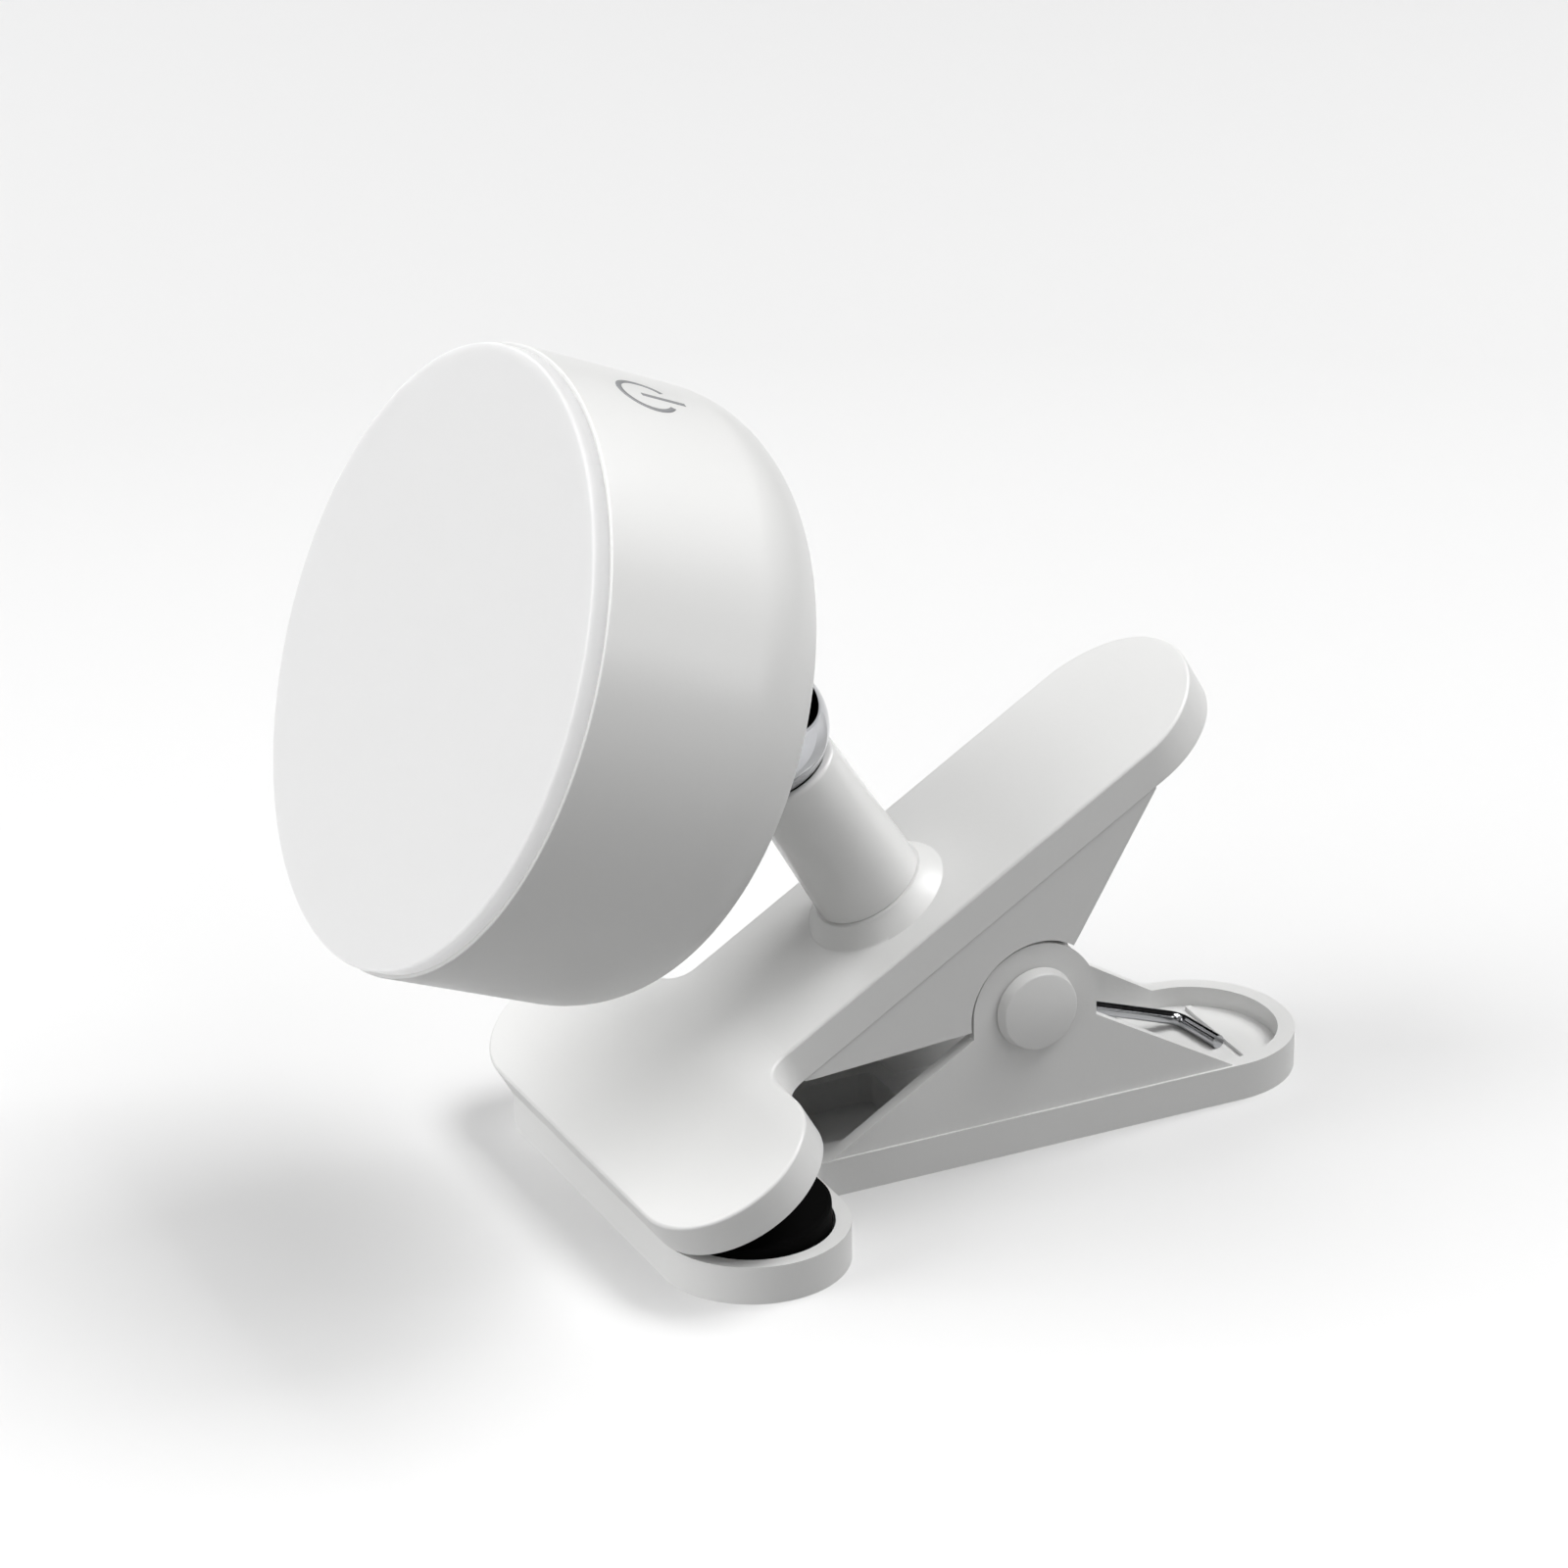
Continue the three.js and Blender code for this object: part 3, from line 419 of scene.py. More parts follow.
def finishPiece(obj, place, material, body, nodes=()):
    obj.data.transform(place)
    obj.data.materials.clear()
    obj.data.materials.append(material)
    obj.data.polygons.foreach_set("use_smooth", [True] * len(obj.data.polygons))
    even = obj.modifiers.new("even shading", "WEIGHTED_NORMAL")
    even.weight = 60
    bake(obj)
    if body:
        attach(obj, body)
    if nodes:
        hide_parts(*nodes)
    return obj


# Lower arm

lowerArmShape = {
    "height": 4.95, "jawFront": -55.25, "jawBack": -31.6, "jawHalf": 32.9, "jawRound": 11.825,
    "neckHalf": 12.0, "tailHalf": 13.3, "tailEnd": 43.0, "tailRound": 13.2, "neckFillet": 2.2,
    "rim": 1.9, "padSeat": 1.95, "wall": 2.2, "floor": 2.2, "trayFront": -10.6, "ledge": 0.36,
    "pocketHalf": 7.5, "pocketFront": -29.2, "pocketBack": -13.0, "pocketFloor": 0.7, "pocketRound": 1.0,
    # earFront, nearBack and farBack: foot, shoulder, and the shoulder's drop below the pin
    "earRadius": 8.55, "earFront": (-27.9, -8.5, 2.7), "nearBack": (28.5, 8.6, 2.9),
    "farBack": (30.2, 8.6, 1.2), "earFoot": 0.4, "earHalf": 20.0,
    # stopRib: place, thickness and height
    "stopRib": (33.7, 0.85, 0.5), "ribEnds": (-10.0, 7.0), "ribTurn": -2.0, "ribRoot": 0.3,
    "edge": 0.14, "hole": 3.5,
}
stemWidest = 29.7      # y where both arms' stems reach their full width
clearOf = 40.0         # a height past every piece, for the tools that cut


def stemCorners(s, inset, start):
    # The stem widens evenly from the jaw's neck
    slope = (s["tailHalf"] - s["neckHalf"]) / (stemWidest - s["jawBack"])
    half = s["neckHalf"] + slope * (start - s["jawBack"]) - inset
    tail = s["tailHalf"] - inset
    end = s["tailEnd"] - inset
    radius = s["tailRound"] - inset
    return [(-half, start, 0), (half, start, 0), (tail, end, radius), (-tail, end, radius)]


def fourCorners(x, front, back, radius):
    return [(-x, front, radius), (x, front, radius), (x, back, radius), (-x, back, radius)]


def jawCorners(s, inset):
    front, back = s["jawFront"] + inset, s["jawBack"] - inset
    return fourCorners(s["jawHalf"] - inset, front, back, s["jawRound"] - inset)


def armOutline(s):
    x, front, back, neck = s["jawHalf"], s["jawFront"], s["jawBack"], s["neckHalf"]
    radius, fillet, tail = s["jawRound"], s["neckFillet"], s["tailHalf"]
    return [(-x, front, radius), (x, front, radius), (x, back, radius), (neck, back, fillet),
            (tail, s["tailEnd"], s["tailRound"]), (-tail, s["tailEnd"], s["tailRound"]),
            (-neck, back, fillet), (-x, back, radius)]


def makeLowerArm(s):
    pivot = clipPlaces["pivotHeight"]
    start = s["jawBack"] + s["rim"]
    arm = flatBlank("lowerArm", armOutline(s), 0, s["height"], steps=20)
    tray = stemCorners(s, s["wall"], s["trayFront"])
    pocket = fourCorners(s["pocketHalf"], s["pocketFront"], s["pocketBack"], s["pocketRound"])
    carve(arm,
          ("DIFFERENCE", flatBlank("padSeat", jawCorners(s, s["rim"]), s["padSeat"], clearOf, steps=20)),
          ("DIFFERENCE", flatBlank("tray", tray, s["floor"], clearOf, steps=20)),
          ("DIFFERENCE", flatBlank("pocket", pocket, s["pocketFloor"], clearOf, steps=8)))
    ears = flatBlank("ears", stemCorners(s, s["ledge"], start), s["earFoot"], clearOf, steps=20)
    footFront, shoulderFront, dropFront = s["earFront"]
    r, half = s["earRadius"], s["earHalf"]
    halves = []
    # The two ears differ behind the pin; their halves overlap by a hair in the middle
    for low, high, back in ((0, half, s["nearBack"]), (-half, 0.001, s["farBack"])):
        footBack, shoulderBack, dropBack = back
        side = [(footFront, 0.2, 0), (footBack, 0.2, 0), (footBack, s["height"], 0),
                (shoulderBack, pivot - dropBack, 0), (r, pivot + r, r), (-r, pivot + r, r),
                (shoulderFront, pivot - dropFront, 0), (footFront, s["height"], 0)]
        halves.append(sideBlank("earSide", side, low, high, steps=24))
    carve(halves[0], ("UNION", halves[1]))
    between = flatBlank("between", stemCorners(s, s["wall"] - 0.02, start - 3), -5, clearOf + 5, steps=20)
    carve(ears, ("DIFFERENCE", between), ("INTERSECT", halves[0]))
    carve(ears, ("DIFFERENCE", crossRodBlank("pinHole", s["hole"], -half, half, (0, pivot))))
    ribAt, ribThick, ribHigh = s["stopRib"]
    left, right = s["ribEnds"]
    rib = boxBlank("stopRib", (left, ribAt, s["floor"] - s["ribRoot"]),
                   (right, ribAt + ribThick, s["floor"] + ribHigh))
    rib.data.transform(Matrix.Rotation(math.radians(s["ribTurn"]), 4, "Z"))
    carve(arm, ("UNION", ears), ("UNION", rib))
    breakEdges(arm, s["edge"])
    return finishPiece(arm, groundFrame, satinAbs, "lower_clip", ["lower_arm"])


makeLowerArm(lowerArmShape)

lowerPadShape = {"inset": 2.35, "low": 2.25, "frontHigh": 5.25, "backHigh": 7.95, "edge": 0.5}


def makeLowerPad(p, s):
    front, back = s["jawFront"] + p["inset"], s["jawBack"] - p["inset"]
    bm = bmesh.new()
    outlineFace(bm, jawCorners(s, p["inset"]), lambda a, b: (a, b, p["low"]), 20)
    for v in raiseFaces(bm, (0, 0, 0)):
        share = (v.co.y - front) / (back - front)
        v.co.z = p["frontHigh"] + share * (p["backHigh"] - p["frontHigh"])
    pad = breakEdges(toObject("lowerPad", bm), p["edge"], 4)
    return finishPiece(pad, groundFrame, rubber, "lower_clip", ["lower_pad"])


makeLowerPad(lowerPadShape, lowerArmShape)

capShape = {
    "foot": 5.42, "radius": 5.03, "edge": 1.55, "dome": 0.6, "gap": 0.04, "side": 12.26,
    "stem": 3.2, "stemEnd": -1.7,
}


def makeCap(name, side, c):
    section = [(c["stem"], c["stemEnd"], 0), (c["stem"], c["gap"], 0), (c["foot"], c["gap"], 0.08),
               (c["radius"], c["edge"], 0.16)]
    for i in range(1, 13):      # the domed top, from its rim to its middle
        out = 1 - i / 12
        section.append((max(c["radius"] * out, 0), c["edge"] + c["dome"] * (1 - out ** 2), 0))
    section.append((0, c["stemEnd"], 0))
    cap = spun(name, section, 96)
    turn = Matrix.Translation((side * c["side"], 0, 0)) @ Matrix.Rotation(side * math.pi / 2, 4, "Y")
    node = "pin_cap_right" if side > 0 else "pin_cap_left"
    return finishPiece(cap, pivotFrame @ turn, satinAbs, "lower_clip", [node])


makeCap("pinCapRight", 1, capShape)
makeCap("pinCapLeft", -1, capShape)
print("lower clip made")


# Upper arm

upperArmShape = {
    "top": 20.0, "low": 15.1, "jawFront": -55.4, "jawBack": -32.6, "jawHalf": 33.2, "jawRound": 11.4,
    "neckHalf": 13.3, "tailHalf": 13.3, "tailEnd": 41.9, "tailRound": 13.25, "neckFillet": 3.6,
    "wall": 2.0, "skin": 1.8, "padSeat": 2.1, "topRound": 0.45, "edge": 0.14,
}
# The handle leans back a little from the jaw: level at "level", all of it behind "full", none before "none"
handleLean = {"slope": 0.0165, "level": 21.0, "full": -28.0, "none": -37.0, "fadeLow": 9.2, "fadeHigh": 13.2,
              "tailFrom": 27.0, "tailRise": 0.95}
bossShape = {
    "foot": 9.65, "footAt": -30.3, "footShift": 0.3, "footDeep": 0.9, "top": -27.52, "topRadius": 7.2,
    "bore": 2.3, "inner": 6.2, "innerEnd": -33.4, "flare": 1.25,
}


def leanHandle(obj, n, s, tail=False):
    bm = bmesh.new()
    bm.from_mesh(obj.data)
    steps = 8
    cuts = [n["none"] + (n["full"] - n["none"]) * i / steps for i in range(steps + 1)]
    if tail:
        cuts += [n["tailFrom"] + 2 * i for i in range(6)]
    for y in cuts:
        everything = bm.verts[:] + bm.edges[:] + bm.faces[:]
        bmesh.ops.bisect_plane(bm, geom=everything, plane_co=(0, y, 0), plane_no=(0, 1, 0))
    for v in bm.verts:
        share = min(max((v.co.y - n["none"]) / (n["full"] - n["none"]), 0), 1)
        share *= share * (3 - 2 * share)
        depth = min(max((v.co.z - n["fadeLow"]) / (n["fadeHigh"] - n["fadeLow"]), 0), 1)
        rise = n["slope"] * (v.co.y - n["level"]) * share * depth
        if tail and v.co.y > n["tailFrom"]:
            run = (v.co.y - n["tailFrom"]) / (s["tailEnd"] - n["tailFrom"])
            rise += n["tailRise"] * run * run * max(v.co.z - s["low"], 0) / (s["top"] - s["low"])
        v.co.z += rise
    bm.to_mesh(obj.data)
    bm.free()
    return obj


def makeUpperCover(s, b):
    cover = flatBlank("upperCover", armOutline(s), s["low"], s["top"], s["topRound"], steps=20)
    toBall = armFrame.inverted() @ ballFrame
    rise, spread = b["top"] - b["footAt"], b["foot"] - b["topRadius"]
    sunk = b["footAt"] - b["footDeep"]
    section = [(0, b["innerEnd"], 0), (b["inner"], b["innerEnd"], 0), (b["inner"], sunk, 0),
               (b["foot"] + 0.1, sunk, 0)]
    for i in range(11):      # a cone that flares a little towards its foot
        t = 1 - i / 10
        section.append((b["topRadius"] + spread * t ** b["flare"], b["top"] - rise * t, 0))
    section.append((0, b["top"], 0))
    boss = spun("boss", section, 96)
    for v in boss.data.vertices:
        v.co.y -= b["footShift"] * min(max((b["top"] - v.co.z) / rise, 0), 1)
    boss.data.transform(toBall)
    screwHole = rodBlank("screwHole", b["bore"], b["innerEnd"] - 3, b["top"] + 3)
    screwHole.data.transform(toBall)
    start = s["jawBack"] + s["wall"]
    under = s["low"] - 5      # below the cover, where the cuts start
    jaw, stem = jawCorners(s, s["wall"]), stemCorners(s, s["wall"], start)
    carve(cover,
          ("DIFFERENCE", flatBlank("padSeat", jaw, under, s["low"] + s["padSeat"], steps=20)),
          ("DIFFERENCE", flatBlank("hollow", stem, under, s["top"] - s["skin"], steps=20)))
    breakEdges(cover, s["edge"])
    leanHandle(cover, handleLean, s, tail=True)
    carve(cover, ("UNION", boss), ("DIFFERENCE", screwHole))
    return finishPiece(cover, armFrame, satinAbs, "upper_clip", ["upper_cover"])


makeUpperCover(upperArmShape, bossShape)

frameShape = {
    "low": 13.2, "high": 15.02, "half": 13.08, "wall": 2.0, "front": (-29.1, 14.8), "frontLow": (-0.74, -1.3),
    "corner": (9.05, 4.07), "cornerRound": 0.8, "back": (27.3, 14.8), "arch": 9.0, "draft": 0.07,
    "lugAt": (7.99, 9.99), "lugRadius": 7.5, "lugFoot": 9.0, "pinHole": 2.3, "headHole": 4.1,
    "plateFront": -26.3, "plateBack": 24.2, "plateInset": 0.9, "plateDrop": 0.1, "seated": 0.5,
    "ribAt": (23.4, 24.1), "ribLow": 12.5, "lip": 17.3, "lipHalf": 11.0, "lipWall": 1.6,
    "lipInset": (0.3, 0.2), "edge": 0.1,
}


def makeUpperFrame(f):
    # "seated" is how far one member reaches into the next, so that they join
    frontY, backY = f["front"][0], f["back"][0]
    plateFront, plateBack, seat = f["plateFront"], f["plateBack"], f["low"] + f["seated"]
    inside = f["half"] - f["plateInset"]
    plateTop = f["high"] - f["plateDrop"]
    plate = boxBlank("upperFrame", (-inside, plateFront, f["low"]), (inside, plateBack, plateTop))
    outer, wall = f["lipHalf"], f["lipWall"]
    lipFront, lipBack = plateFront + f["lipInset"][0], plateBack - f["lipInset"][1]
    lip = boxBlank("lip", (-outer, lipFront, seat), (outer, lipBack, f["lip"]))
    hollow = boxBlank("hollow", (wall - outer, lipFront + wall, 0), (outer - wall, lipBack - wall, clearOf))
    carve(lip, ("DIFFERENCE", hollow))
    side = [(frontY, f["high"], 0), (*f["front"], 0), (*f["frontLow"], 0), (*f["corner"], f["cornerRound"]),
            (*f["back"], 0), (backY, f["high"], 0)]
    members = [lip]
    for low in (-f["half"], f["half"] - f["wall"]):
        cheek = sideBlank("cheek", side, low, low + f["wall"])
        for v in cheek.data.vertices:
            v.co.x -= math.copysign(f["draft"] * (f["high"] - v.co.z), v.co.x)
        members.append(carve(cheek, ("DIFFERENCE", crossRodBlank("arch", f["arch"], -20, 20, (0, 0), 128))))
    near, far = f["lugAt"]
    r, foot = f["lugRadius"], f["lugFoot"]
    lugSide = [(-r, -r, r - 0.2), (r, -r, r - 0.2), (foot, seat, 0), (-foot, seat, 0)]
    for low in (-far, near):
        members.append(sideBlank("lug", lugSide, low, low + far - near))
    members.append(boxBlank("seatRib", (-outer, f["ribAt"][0], f["ribLow"]), (outer, f["ribAt"][1], seat)))
    headHole = rodBlank("headHole", f["headHole"], -45, -33)
    headHole.data.transform(armFrame.inverted() @ ballFrame)
    pinHole = crossRodBlank("pinHole", f["pinHole"], -20, 20, (0, 0))
    joined = [("UNION", member) for member in members]
    carve(plate, *joined, ("DIFFERENCE", pinHole), ("DIFFERENCE", headHole))
    breakEdges(plate, f["edge"], 2)
    leanHandle(plate, handleLean, upperArmShape)
    return finishPiece(plate, armFrame, satinAbs, "upper_clip", ["upper_frame"])


makeUpperFrame(frameShape)

upperPadShape = {"inset": 2.3, "low": 14.6, "high": 16.9, "edge": 0.4}


def makeUpperPad(p, s):
    pad = flatBlank("upperPad", jawCorners(s, p["inset"]), p["low"], p["high"], steps=20)
    breakEdges(pad, p["edge"], 3)
    return finishPiece(pad, armFrame, rubber, "upper_clip", ["upper_pad"])


makeUpperPad(upperPadShape, upperArmShape)

tubeShape = {
    "low": -27.5, "high": -6.9, "lowRadius": 7.0, "highRadius": 6.35, "edge": 0.5, "bore": 4.6, "seat": 8.63,
}


def makePostTube(t):
    lip = math.sqrt(t["seat"] ** 2 - t["high"] ** 2)
    foot = -math.sqrt(t["seat"] ** 2 - t["bore"] ** 2)
    tube = spun("postTube", [
        (t["bore"], t["low"], 0), (t["lowRadius"], t["low"], 0.12), (t["highRadius"], t["high"], t["edge"]),
        (lip, t["high"], 0.08), (t["bore"], foot, 0)], 128, 6)
    return finishPiece(tube, ballFrame, glossAbs, "upper_clip", ["post_tube"])


makePostTube(tubeShape)
print("upper clip made")


# Spring: legs ride with their own arms; the coil is attached to neither

springShape = {"wire": 0.9, "coil": 5.05, "half": 5.4, "turns": 4, "reach": 8.3, "bend": 1.9, "skew": 7.2,
               "lowerFoot": (31.1, 3.1), "upperFoot": (21.5, 12.2)}


def tubeAlong(name, points, radius, sides=20):
    curve = bpy.data.curves.new(name, "CURVE")
    curve.dimensions = "3D"
    curve.bevel_depth = radius
    curve.bevel_resolution = sides // 4
    curve.use_fill_caps = True
    line = curve.splines.new("POLY")
    line.points.add(len(points) - 1)
    for spot, p in zip(line.points, points):
        spot.co = (*p, 1)
    drawn = bpy.data.objects.new(name, curve)
    scene.collection.objects.link(drawn)
    mesh = bpy.data.meshes.new_from_object(drawn.evaluated_get(bpy.context.evaluated_depsgraph_get()))
    bpy.data.objects.remove(drawn)
    obj = bpy.data.objects.new(name, mesh)
    scene.collection.objects.link(obj)
    return obj


def footPoints(corner, along, leg, s):
    # From the foot's free end, round its bend and towards the coil
    start, end = corner + along * s["bend"], corner + leg * s["bend"]
    bend = [start.lerp(corner, t).lerp(corner.lerp(end, t), t) for t in (i / 10 for i in range(11))]
    return [corner + along * s["reach"]] + bend


def makeSpring(s):
    tilt = Matrix.Rotation(math.radians(clipPlaces["armTilt"]), 3, "X")
    lowerCorner = Vector((-s["half"], s["lowerFoot"][0], s["lowerFoot"][1] - clipPlaces["pivotHeight"]))
    upperCorner = tilt @ Vector((s["half"], s["upperFoot"][0], s["upperFoot"][1]))

    def touching(p, side):
        return math.atan2(p.z, p.y) + side * math.acos(s["coil"] / math.hypot(p.y, p.z))

    first, last = touching(lowerCorner, -1), touching(upperCorner, 1)
    sweep = first - last + 2 * math.pi * (s["turns"] + 1)
    count = 200
    coil = []
    for i in range(count + 1):
        angle = first - sweep * i / count
        across = s["half"] * (2 * i / count - 1)
        coil.append(Vector((across, s["coil"] * math.cos(angle), s["coil"] * math.sin(angle))))
    skew = math.radians(s["skew"])
    lowerAlong = Vector((math.cos(skew), math.sin(skew), 0))
    upperAlong = tilt @ Vector((-math.cos(skew), math.sin(skew), 0))
    lowerLeg = footPoints(lowerCorner, lowerAlong, (coil[0] - lowerCorner).normalized(), s) + [coil[0]]
    upperLeg = footPoints(upperCorner, upperAlong, (coil[-1] - upperCorner).normalized(), s) + [coil[-1]]
    pieces = []
    for name, path, body in (("springCoil", coil, None), ("springLowerLeg", lowerLeg, "lower_clip"),
                             ("springUpperLeg", upperLeg, "upper_clip")):
        wire = tubeAlong(name, path, s["wire"])
        pieces.append(finishPiece(wire, pivotFrame, springWire, body, ["torsion_spring"]))
    return pieces[0]


coilPiece = makeSpring(springShape)
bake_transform(coilPiece)
print("spring made")


# Ball and seat

ballShape = {"radius": 8.5}


def makeBall(b):
    bm = bmesh.new()
    bmesh.ops.create_uvsphere(bm, u_segments=96, v_segments=64, radius=b["radius"])
    ball = toObject("chromeBall", bm)
    return finishPiece(ball, ballFrame, chrome, "ball", ["steel_ball"])


makeBall(ballShape)

magnetShape = {"radius": 6.9, "near": 5.9, "back": 14.4, "seat": 8.8}


def makeMagnet(m):
    # A disc whose face is hollowed to the ball's curve, from the axis out to its rim
    start = math.asin(m["near"] / m["seat"])
    section = [(0, m["seat"], 0)]
    for i in range(1, 13):
        angle = math.pi / 2 + (start - math.pi / 2) * i / 12
        section.append((m["seat"] * math.cos(angle), m["seat"] * math.sin(angle), 0))
    section += [(m["radius"], m["near"], 0.15), (m["radius"], m["back"], 0.2), (0, m["back"], 0)]
    magnet = spun("seatMagnet", section, 96)
    return finishPiece(magnet, headFrame, zinc, "seat", ["socket_magnet"])


makeMagnet(magnetShape)


# Head

headShape = {
    "radius": 37.5, "draft": 0.2, "wall": 2.1, "seam": 44.0, "wallStart": 23.8, "back": 12.3, "flat": 28.6,
    "hubEnd": 5.5, "hubRadius": 9.6, "hubFoot": 13.2, "hubEdge": 0.6, "hole": 7.2, "seamEdge": 0.22,
}
inletShape = {"width": 9.6, "height": 3.8, "at": 29.1, "from": -33.0, "through": 8.0}


def ellipseArc(r, z, radial, axial, a, b, steps):
    angles = [math.radians(a + (b - a) * i / steps) for i in range(steps + 1)]
    return [(r + radial * math.cos(t), z + axial * math.sin(t), 0) for t in angles]


def makeHead(h, u):
    wallRadius = h["radius"] - h["draft"]
    shoulder, depth = wallRadius - h["flat"], h["wallStart"] - h["back"]
    flare = h["hubFoot"] - h["hubRadius"]
    section = [(h["hole"], h["hubEnd"], 0.2), (h["hubRadius"], h["hubEnd"], h["hubEdge"])]
    section += ellipseArc(h["hubFoot"], h["back"] - flare, flare, flare, 180, 90, 10)
    section += ellipseArc(h["flat"], h["wallStart"], shoulder, depth, -90, 0, 28)
    section += [(h["radius"], h["seam"], h["seamEdge"]), (h["radius"] - h["wall"], h["seam"], 0.1)]
    section += ellipseArc(h["flat"], h["wallStart"], shoulder - h["wall"], depth - h["wall"], 0, -90, 16)
    section += [(h["hole"], h["back"] + h["wall"], 0)]
    shell = spun("headShell", section, 192, 5)
    bm = bmesh.new()
    half, high = u["width"] / 2, u["height"] / 2
    low, top, end = u["at"] - high, u["at"] + high, high * 0.98      # ends nearly half round
    corners = [(-half, low, end), (half, low, end), (half, top, end), (-half, top, end)]
    outlineFace(bm, corners, lambda a, b: (a, u["from"], b), 8)
    raiseFaces(bm, (0, -u["through"], 0))
    carve(shell, ("DIFFERENCE", toObject("inlet", bm)))
    return finishPiece(shell, headFrame, satinAbs, "head", ["head_housing"])


makeHead(headShape, inletShape)

diffuserShape = {
    "front": 46.1, "radius": 37.0, "edge": 0.3, "seam": 43.99, "skirt": 35.1, "skirtEnd": 40.7,
    "skirtWall": 1.6, "skin": 1.8,
}


def makeDiffuser(d):
    inside, back = d["skirt"] - d["skirtWall"], d["front"] - d["skin"]
    lens = spun("diffuserLens", [
        (0, d["front"], 0), (d["radius"], d["front"], d["edge"]), (d["radius"], d["seam"], 0),
        (d["skirt"], d["seam"], 0), (d["skirt"], d["skirtEnd"], 0.2), (inside, d["skirtEnd"], 0.2),
        (inside, back, 0.3), (0, back, 0)], 192, 8)
    return finishPiece(lens, headFrame, opal, "head", ["diffuser"])


makeDiffuser(diffuserShape)

markShape = {
    "ring": 3.45, "stroke": 0.72, "opening": 66, "at": 33.0, "barStart": 33.6, "barEnd": 27.7, "proud": 0.03,
}


def makeTouchMark(m, h):
    # Drawn flat, then laid on the wall: x becomes the angle round the head and y the distance along it
    bm = bmesh.new()
    outer, inner = m["ring"] + m["stroke"] / 2, m["ring"] - m["stroke"] / 2
    start = math.radians(-90 + m["opening"] / 2)
    ends = [bm.verts.new((r * math.cos(start), r * math.sin(start), 0)) for r in (inner, outer)]
    arm = bm.edges.new(ends)
    bmesh.ops.spin(bm, geom=ends + [arm], cent=(0, 0, 0), axis=(0, 0, 1),
                   angle=math.radians(360 - m["opening"]), steps=72)
    half = m["stroke"] / 2
    high, low = m["barStart"] - m["at"], m["barEnd"] - m["at"]
    bar = [bm.verts.new((x, y, 0)) for x, y in ((-half, high), (half, high), (half, low), (-half, low))]
    strip = bm.faces.new(bar)
    long = [e for e in strip.edges if abs(e.verts[0].co.y - e.verts[1].co.y) > 1]
    bmesh.ops.subdivide_edges(bm, edges=long, cuts=12, use_grid_fill=True)
    for v in bm.verts:
        along = m["at"] + v.co.y
        radius = h["radius"] - h["draft"] * (h["seam"] - along) / (h["seam"] - h["wallStart"]) + m["proud"]
        angle = v.co.x / radius
        v.co = (radius * math.sin(angle), radius * math.cos(angle), along)
    for v in raiseFaces(bm, (0, 0, 0)):      # the film's inner side lies a little inside the wall
        flat = Vector((v.co.x, v.co.y, 0))
        v.co -= flat.normalized() * 3 * m["proud"]
    mark = toObject("touchMark", bm)
    return finishPiece(mark, headFrame, ink, "head")


makeTouchMark(markShape, headShape)
print("head made")


# What stays from the frame

def keepNodes(names, material):
    for name in names:
        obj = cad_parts[name]
        obj.data.materials.clear()
        obj.data.materials.append(material)


keepNodes(["pivot_pin", "post_screw", "magnet_plate", "usb_port"] + [f"frame_screw_{i}" for i in range(1, 5)]
          + [f"carrier_screw_{i}" for i in range(1, 5)], zinc)
keepNodes(["led_carrier"], satinAbs)
keepNodes(["led_board"], whiteMask)
keepNodes(["control_board"], greenMask)
keepNodes([f"led_{i}" for i in range(1, 13)], phosphor)
keepNodes(["battery"], cellFoil)
keepNodes(["touch_electrode"], copperFoil)


# Studio

paperFinish = {"base": "#DEDEDE", "rough": 0.9, "grain": 2.0, "depth": 0.01, "spread": 0.03}
paperHaze = {"near": 0.3, "far": 1.6, "strength": 0.75}      # in metres from the lamp
studioGlow = {"under": 0.35, "backdrop": 0.9}
studioLights = {
    # name: (place, aim, width, height, watts), in metres
    "top": ((0, 0, 1.0), (0, 0, 0.05), 0.7, 0.7, 1.4),
    "topBack": ((0, 0.5, 0.95), (0, 0, 0.05), 0.5, 0.5, 6.5),
    "topBackSide": ((0.35, 0.5, 0.9), (0, 0, 0.05), 0.4, 0.4, 2.3),
    "topSide": ((0.55, 0.05, 0.85), (0, 0, 0.05), 0.5, 0.5, 1.5),
    "topFront": ((-0.1, -0.75, 0.75), (0, -0.03, 0.05), 0.6, 0.6, 6.2),
    "front": ((-0.1, -1.0, 0.3), (0, -0.03, 0.06), 0.6, 0.4, 3.2),
    "frontSide": ((0.6, -0.8, 0.5), (0, -0.03, 0.05), 0.5, 0.5, 1.4),
    "sideBack": ((0.8, 0.6, 0.35), (0, 0, 0.04), 0.3, 0.3, 0.9),
    "left": ((-0.9, -0.1, 0.5), (0, 0, 0.04), 0.6, 0.6, 1.2),
}


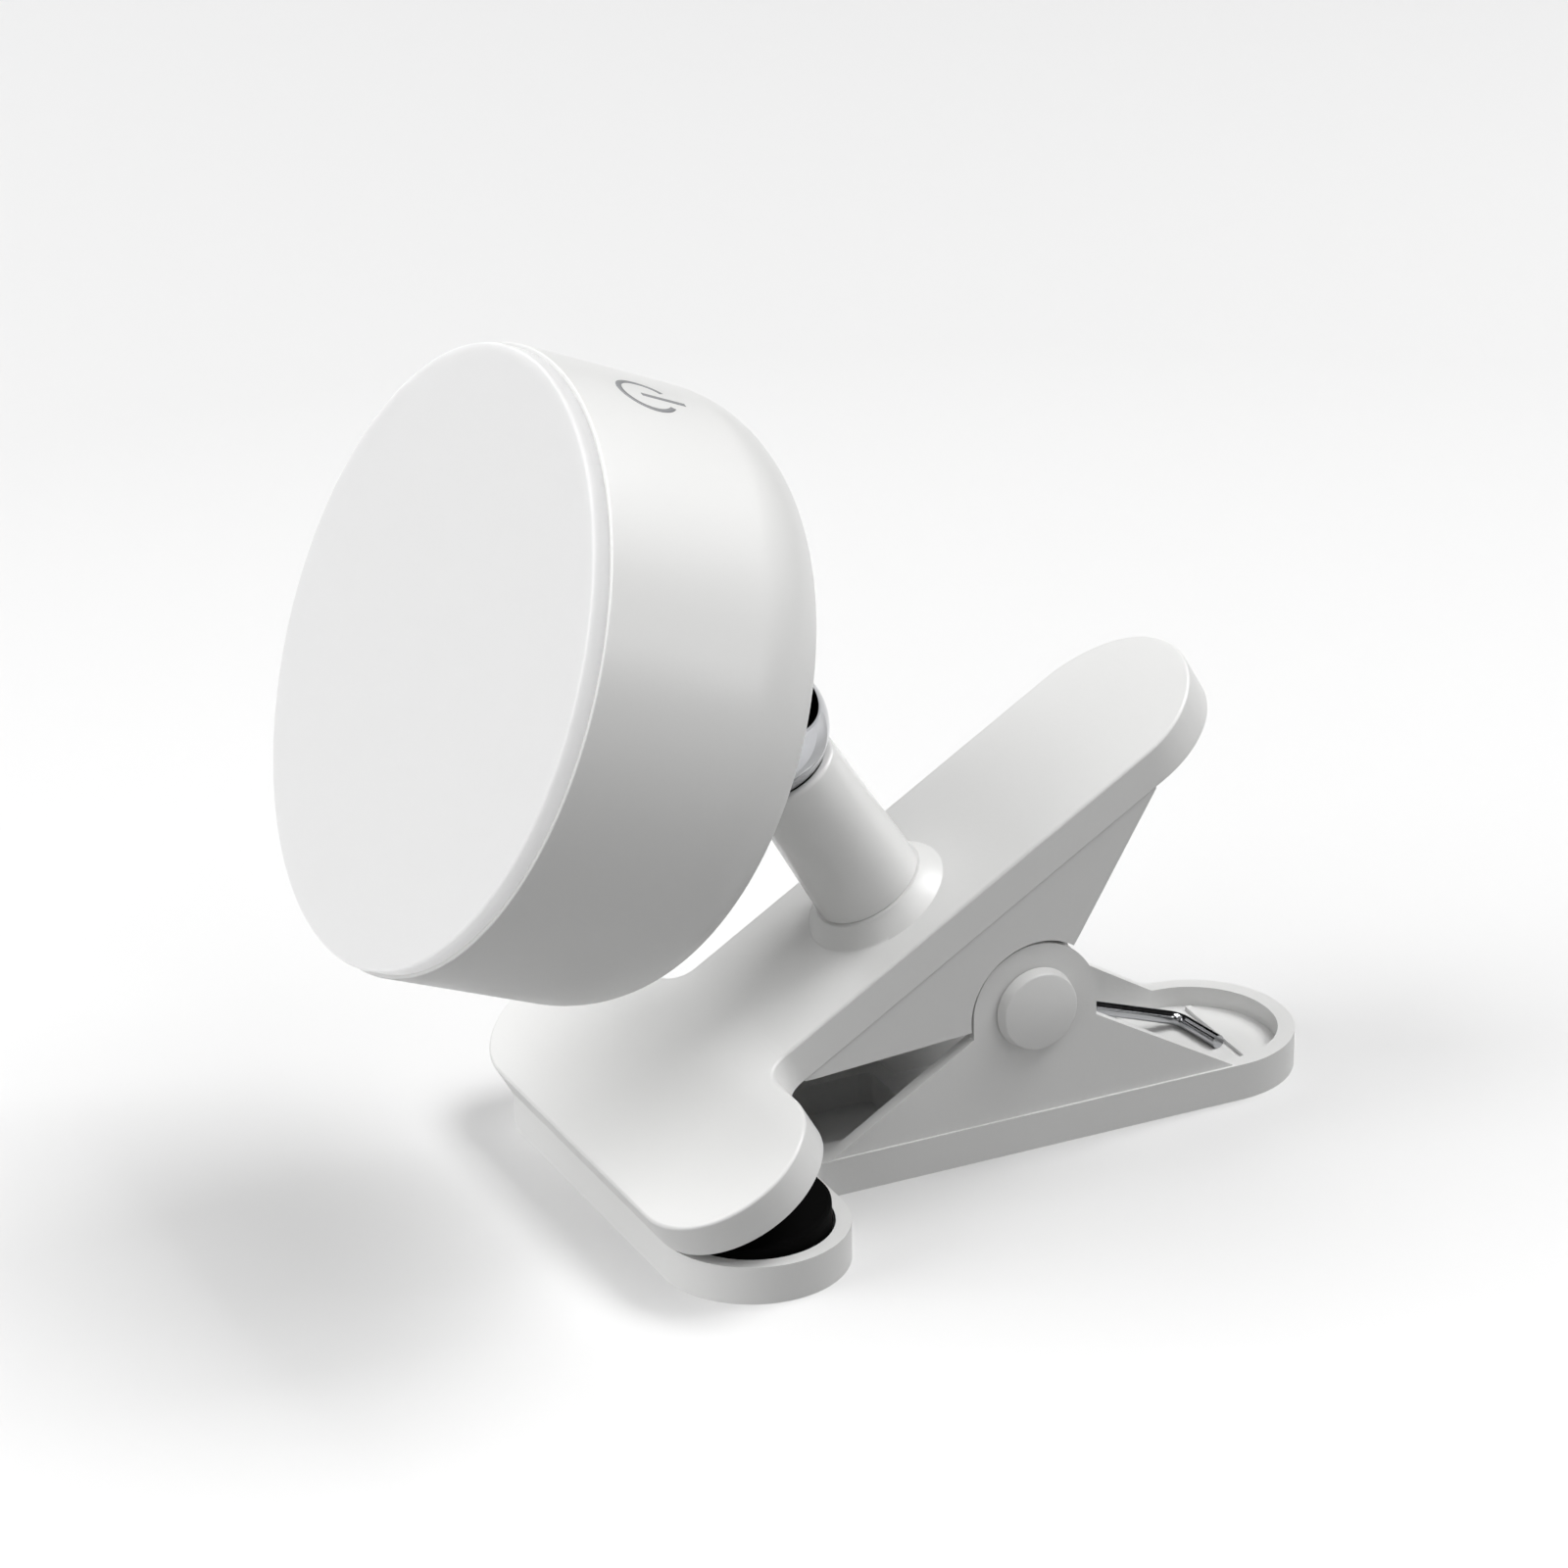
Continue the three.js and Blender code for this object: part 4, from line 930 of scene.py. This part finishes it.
def addLight(name, place, aim, width, height, watts):
    light = bpy.data.lights.new(name, "AREA")
    light.shape = "RECTANGLE"
    light.size, light.size_y = width, height
    light.energy = watts
    lamp = bpy.data.objects.new(name, light)
    lamp.location = place
    lamp.rotation_euler = (Vector(aim) - Vector(place)).to_track_quat("-Z", "Y").to_euler()
    scene.collection.objects.link(lamp)


def makeFloor(f, h):
    bm = bmesh.new()
    bmesh.ops.create_grid(bm, x_segments=1, y_segments=1, size=6)
    floor = toObject("floor", bm, clean=False)
    paper, tree, shader = startMaterial("matt white paper", f["base"], f["rough"], ior=1.5)
    where = grainOn(tree, shader, f)
    # The paper stays pale beyond the lamps' reach, so a low view has no dark band at its top
    away = addNode(tree, "ShaderNodeVectorMath", [(where.outputs["Object"], 0)], operation="LENGTH")
    haze = addNode(tree, "ShaderNodeMapRange", [(away.outputs["Value"], "Value")],
                   {"From Min": h["near"], "From Max": h["far"], "To Max": h["strength"]})
    shader.inputs["Emission Color"].default_value = linear("#FFFFFF")
    tree.links.new(haze.outputs["Result"], shader.inputs["Emission Strength"])
    floor.data.materials.append(paper)
    # The paper's own bounce would be too strong on the undersides, so the world's glow stands in for it
    floor.visible_diffuse = False


def makeWorld(g):
    world = bpy.data.worlds.new("studio")
    world.use_nodes = True
    tree = world.node_tree
    sky = tree.nodes["Background"]
    sky.inputs["Color"].default_value = linear("#FFFFFF")
    where = addNode(tree, "ShaderNodeTexCoord")
    height = addNode(tree, "ShaderNodeSeparateXYZ", [(where.outputs["Generated"], "Vector")])
    below = addNode(tree, "ShaderNodeMath", [(height.outputs["Z"], 0)], {1: 0.0}, operation="LESS_THAN")
    under = addNode(tree, "ShaderNodeMath", [(below.outputs[0], 0)], {1: g["under"]}, operation="MULTIPLY")
    ray = addNode(tree, "ShaderNodeLightPath")
    seen = ray.outputs["Is Camera Ray"]
    glow = addNode(tree, "ShaderNodeMapRange", [(seen, "Value"), (under.outputs[0], "To Min")],
                   {"To Max": g["backdrop"]})
    tree.links.new(glow.outputs["Result"], sky.inputs["Strength"])
    scene.world = world


makeFloor(paperFinish, paperHaze)
makeWorld(studioGlow)
for name, lamp in studioLights.items():
    addLight(name, *lamp)
scene.view_settings.view_transform = "Standard"
print("studio made")
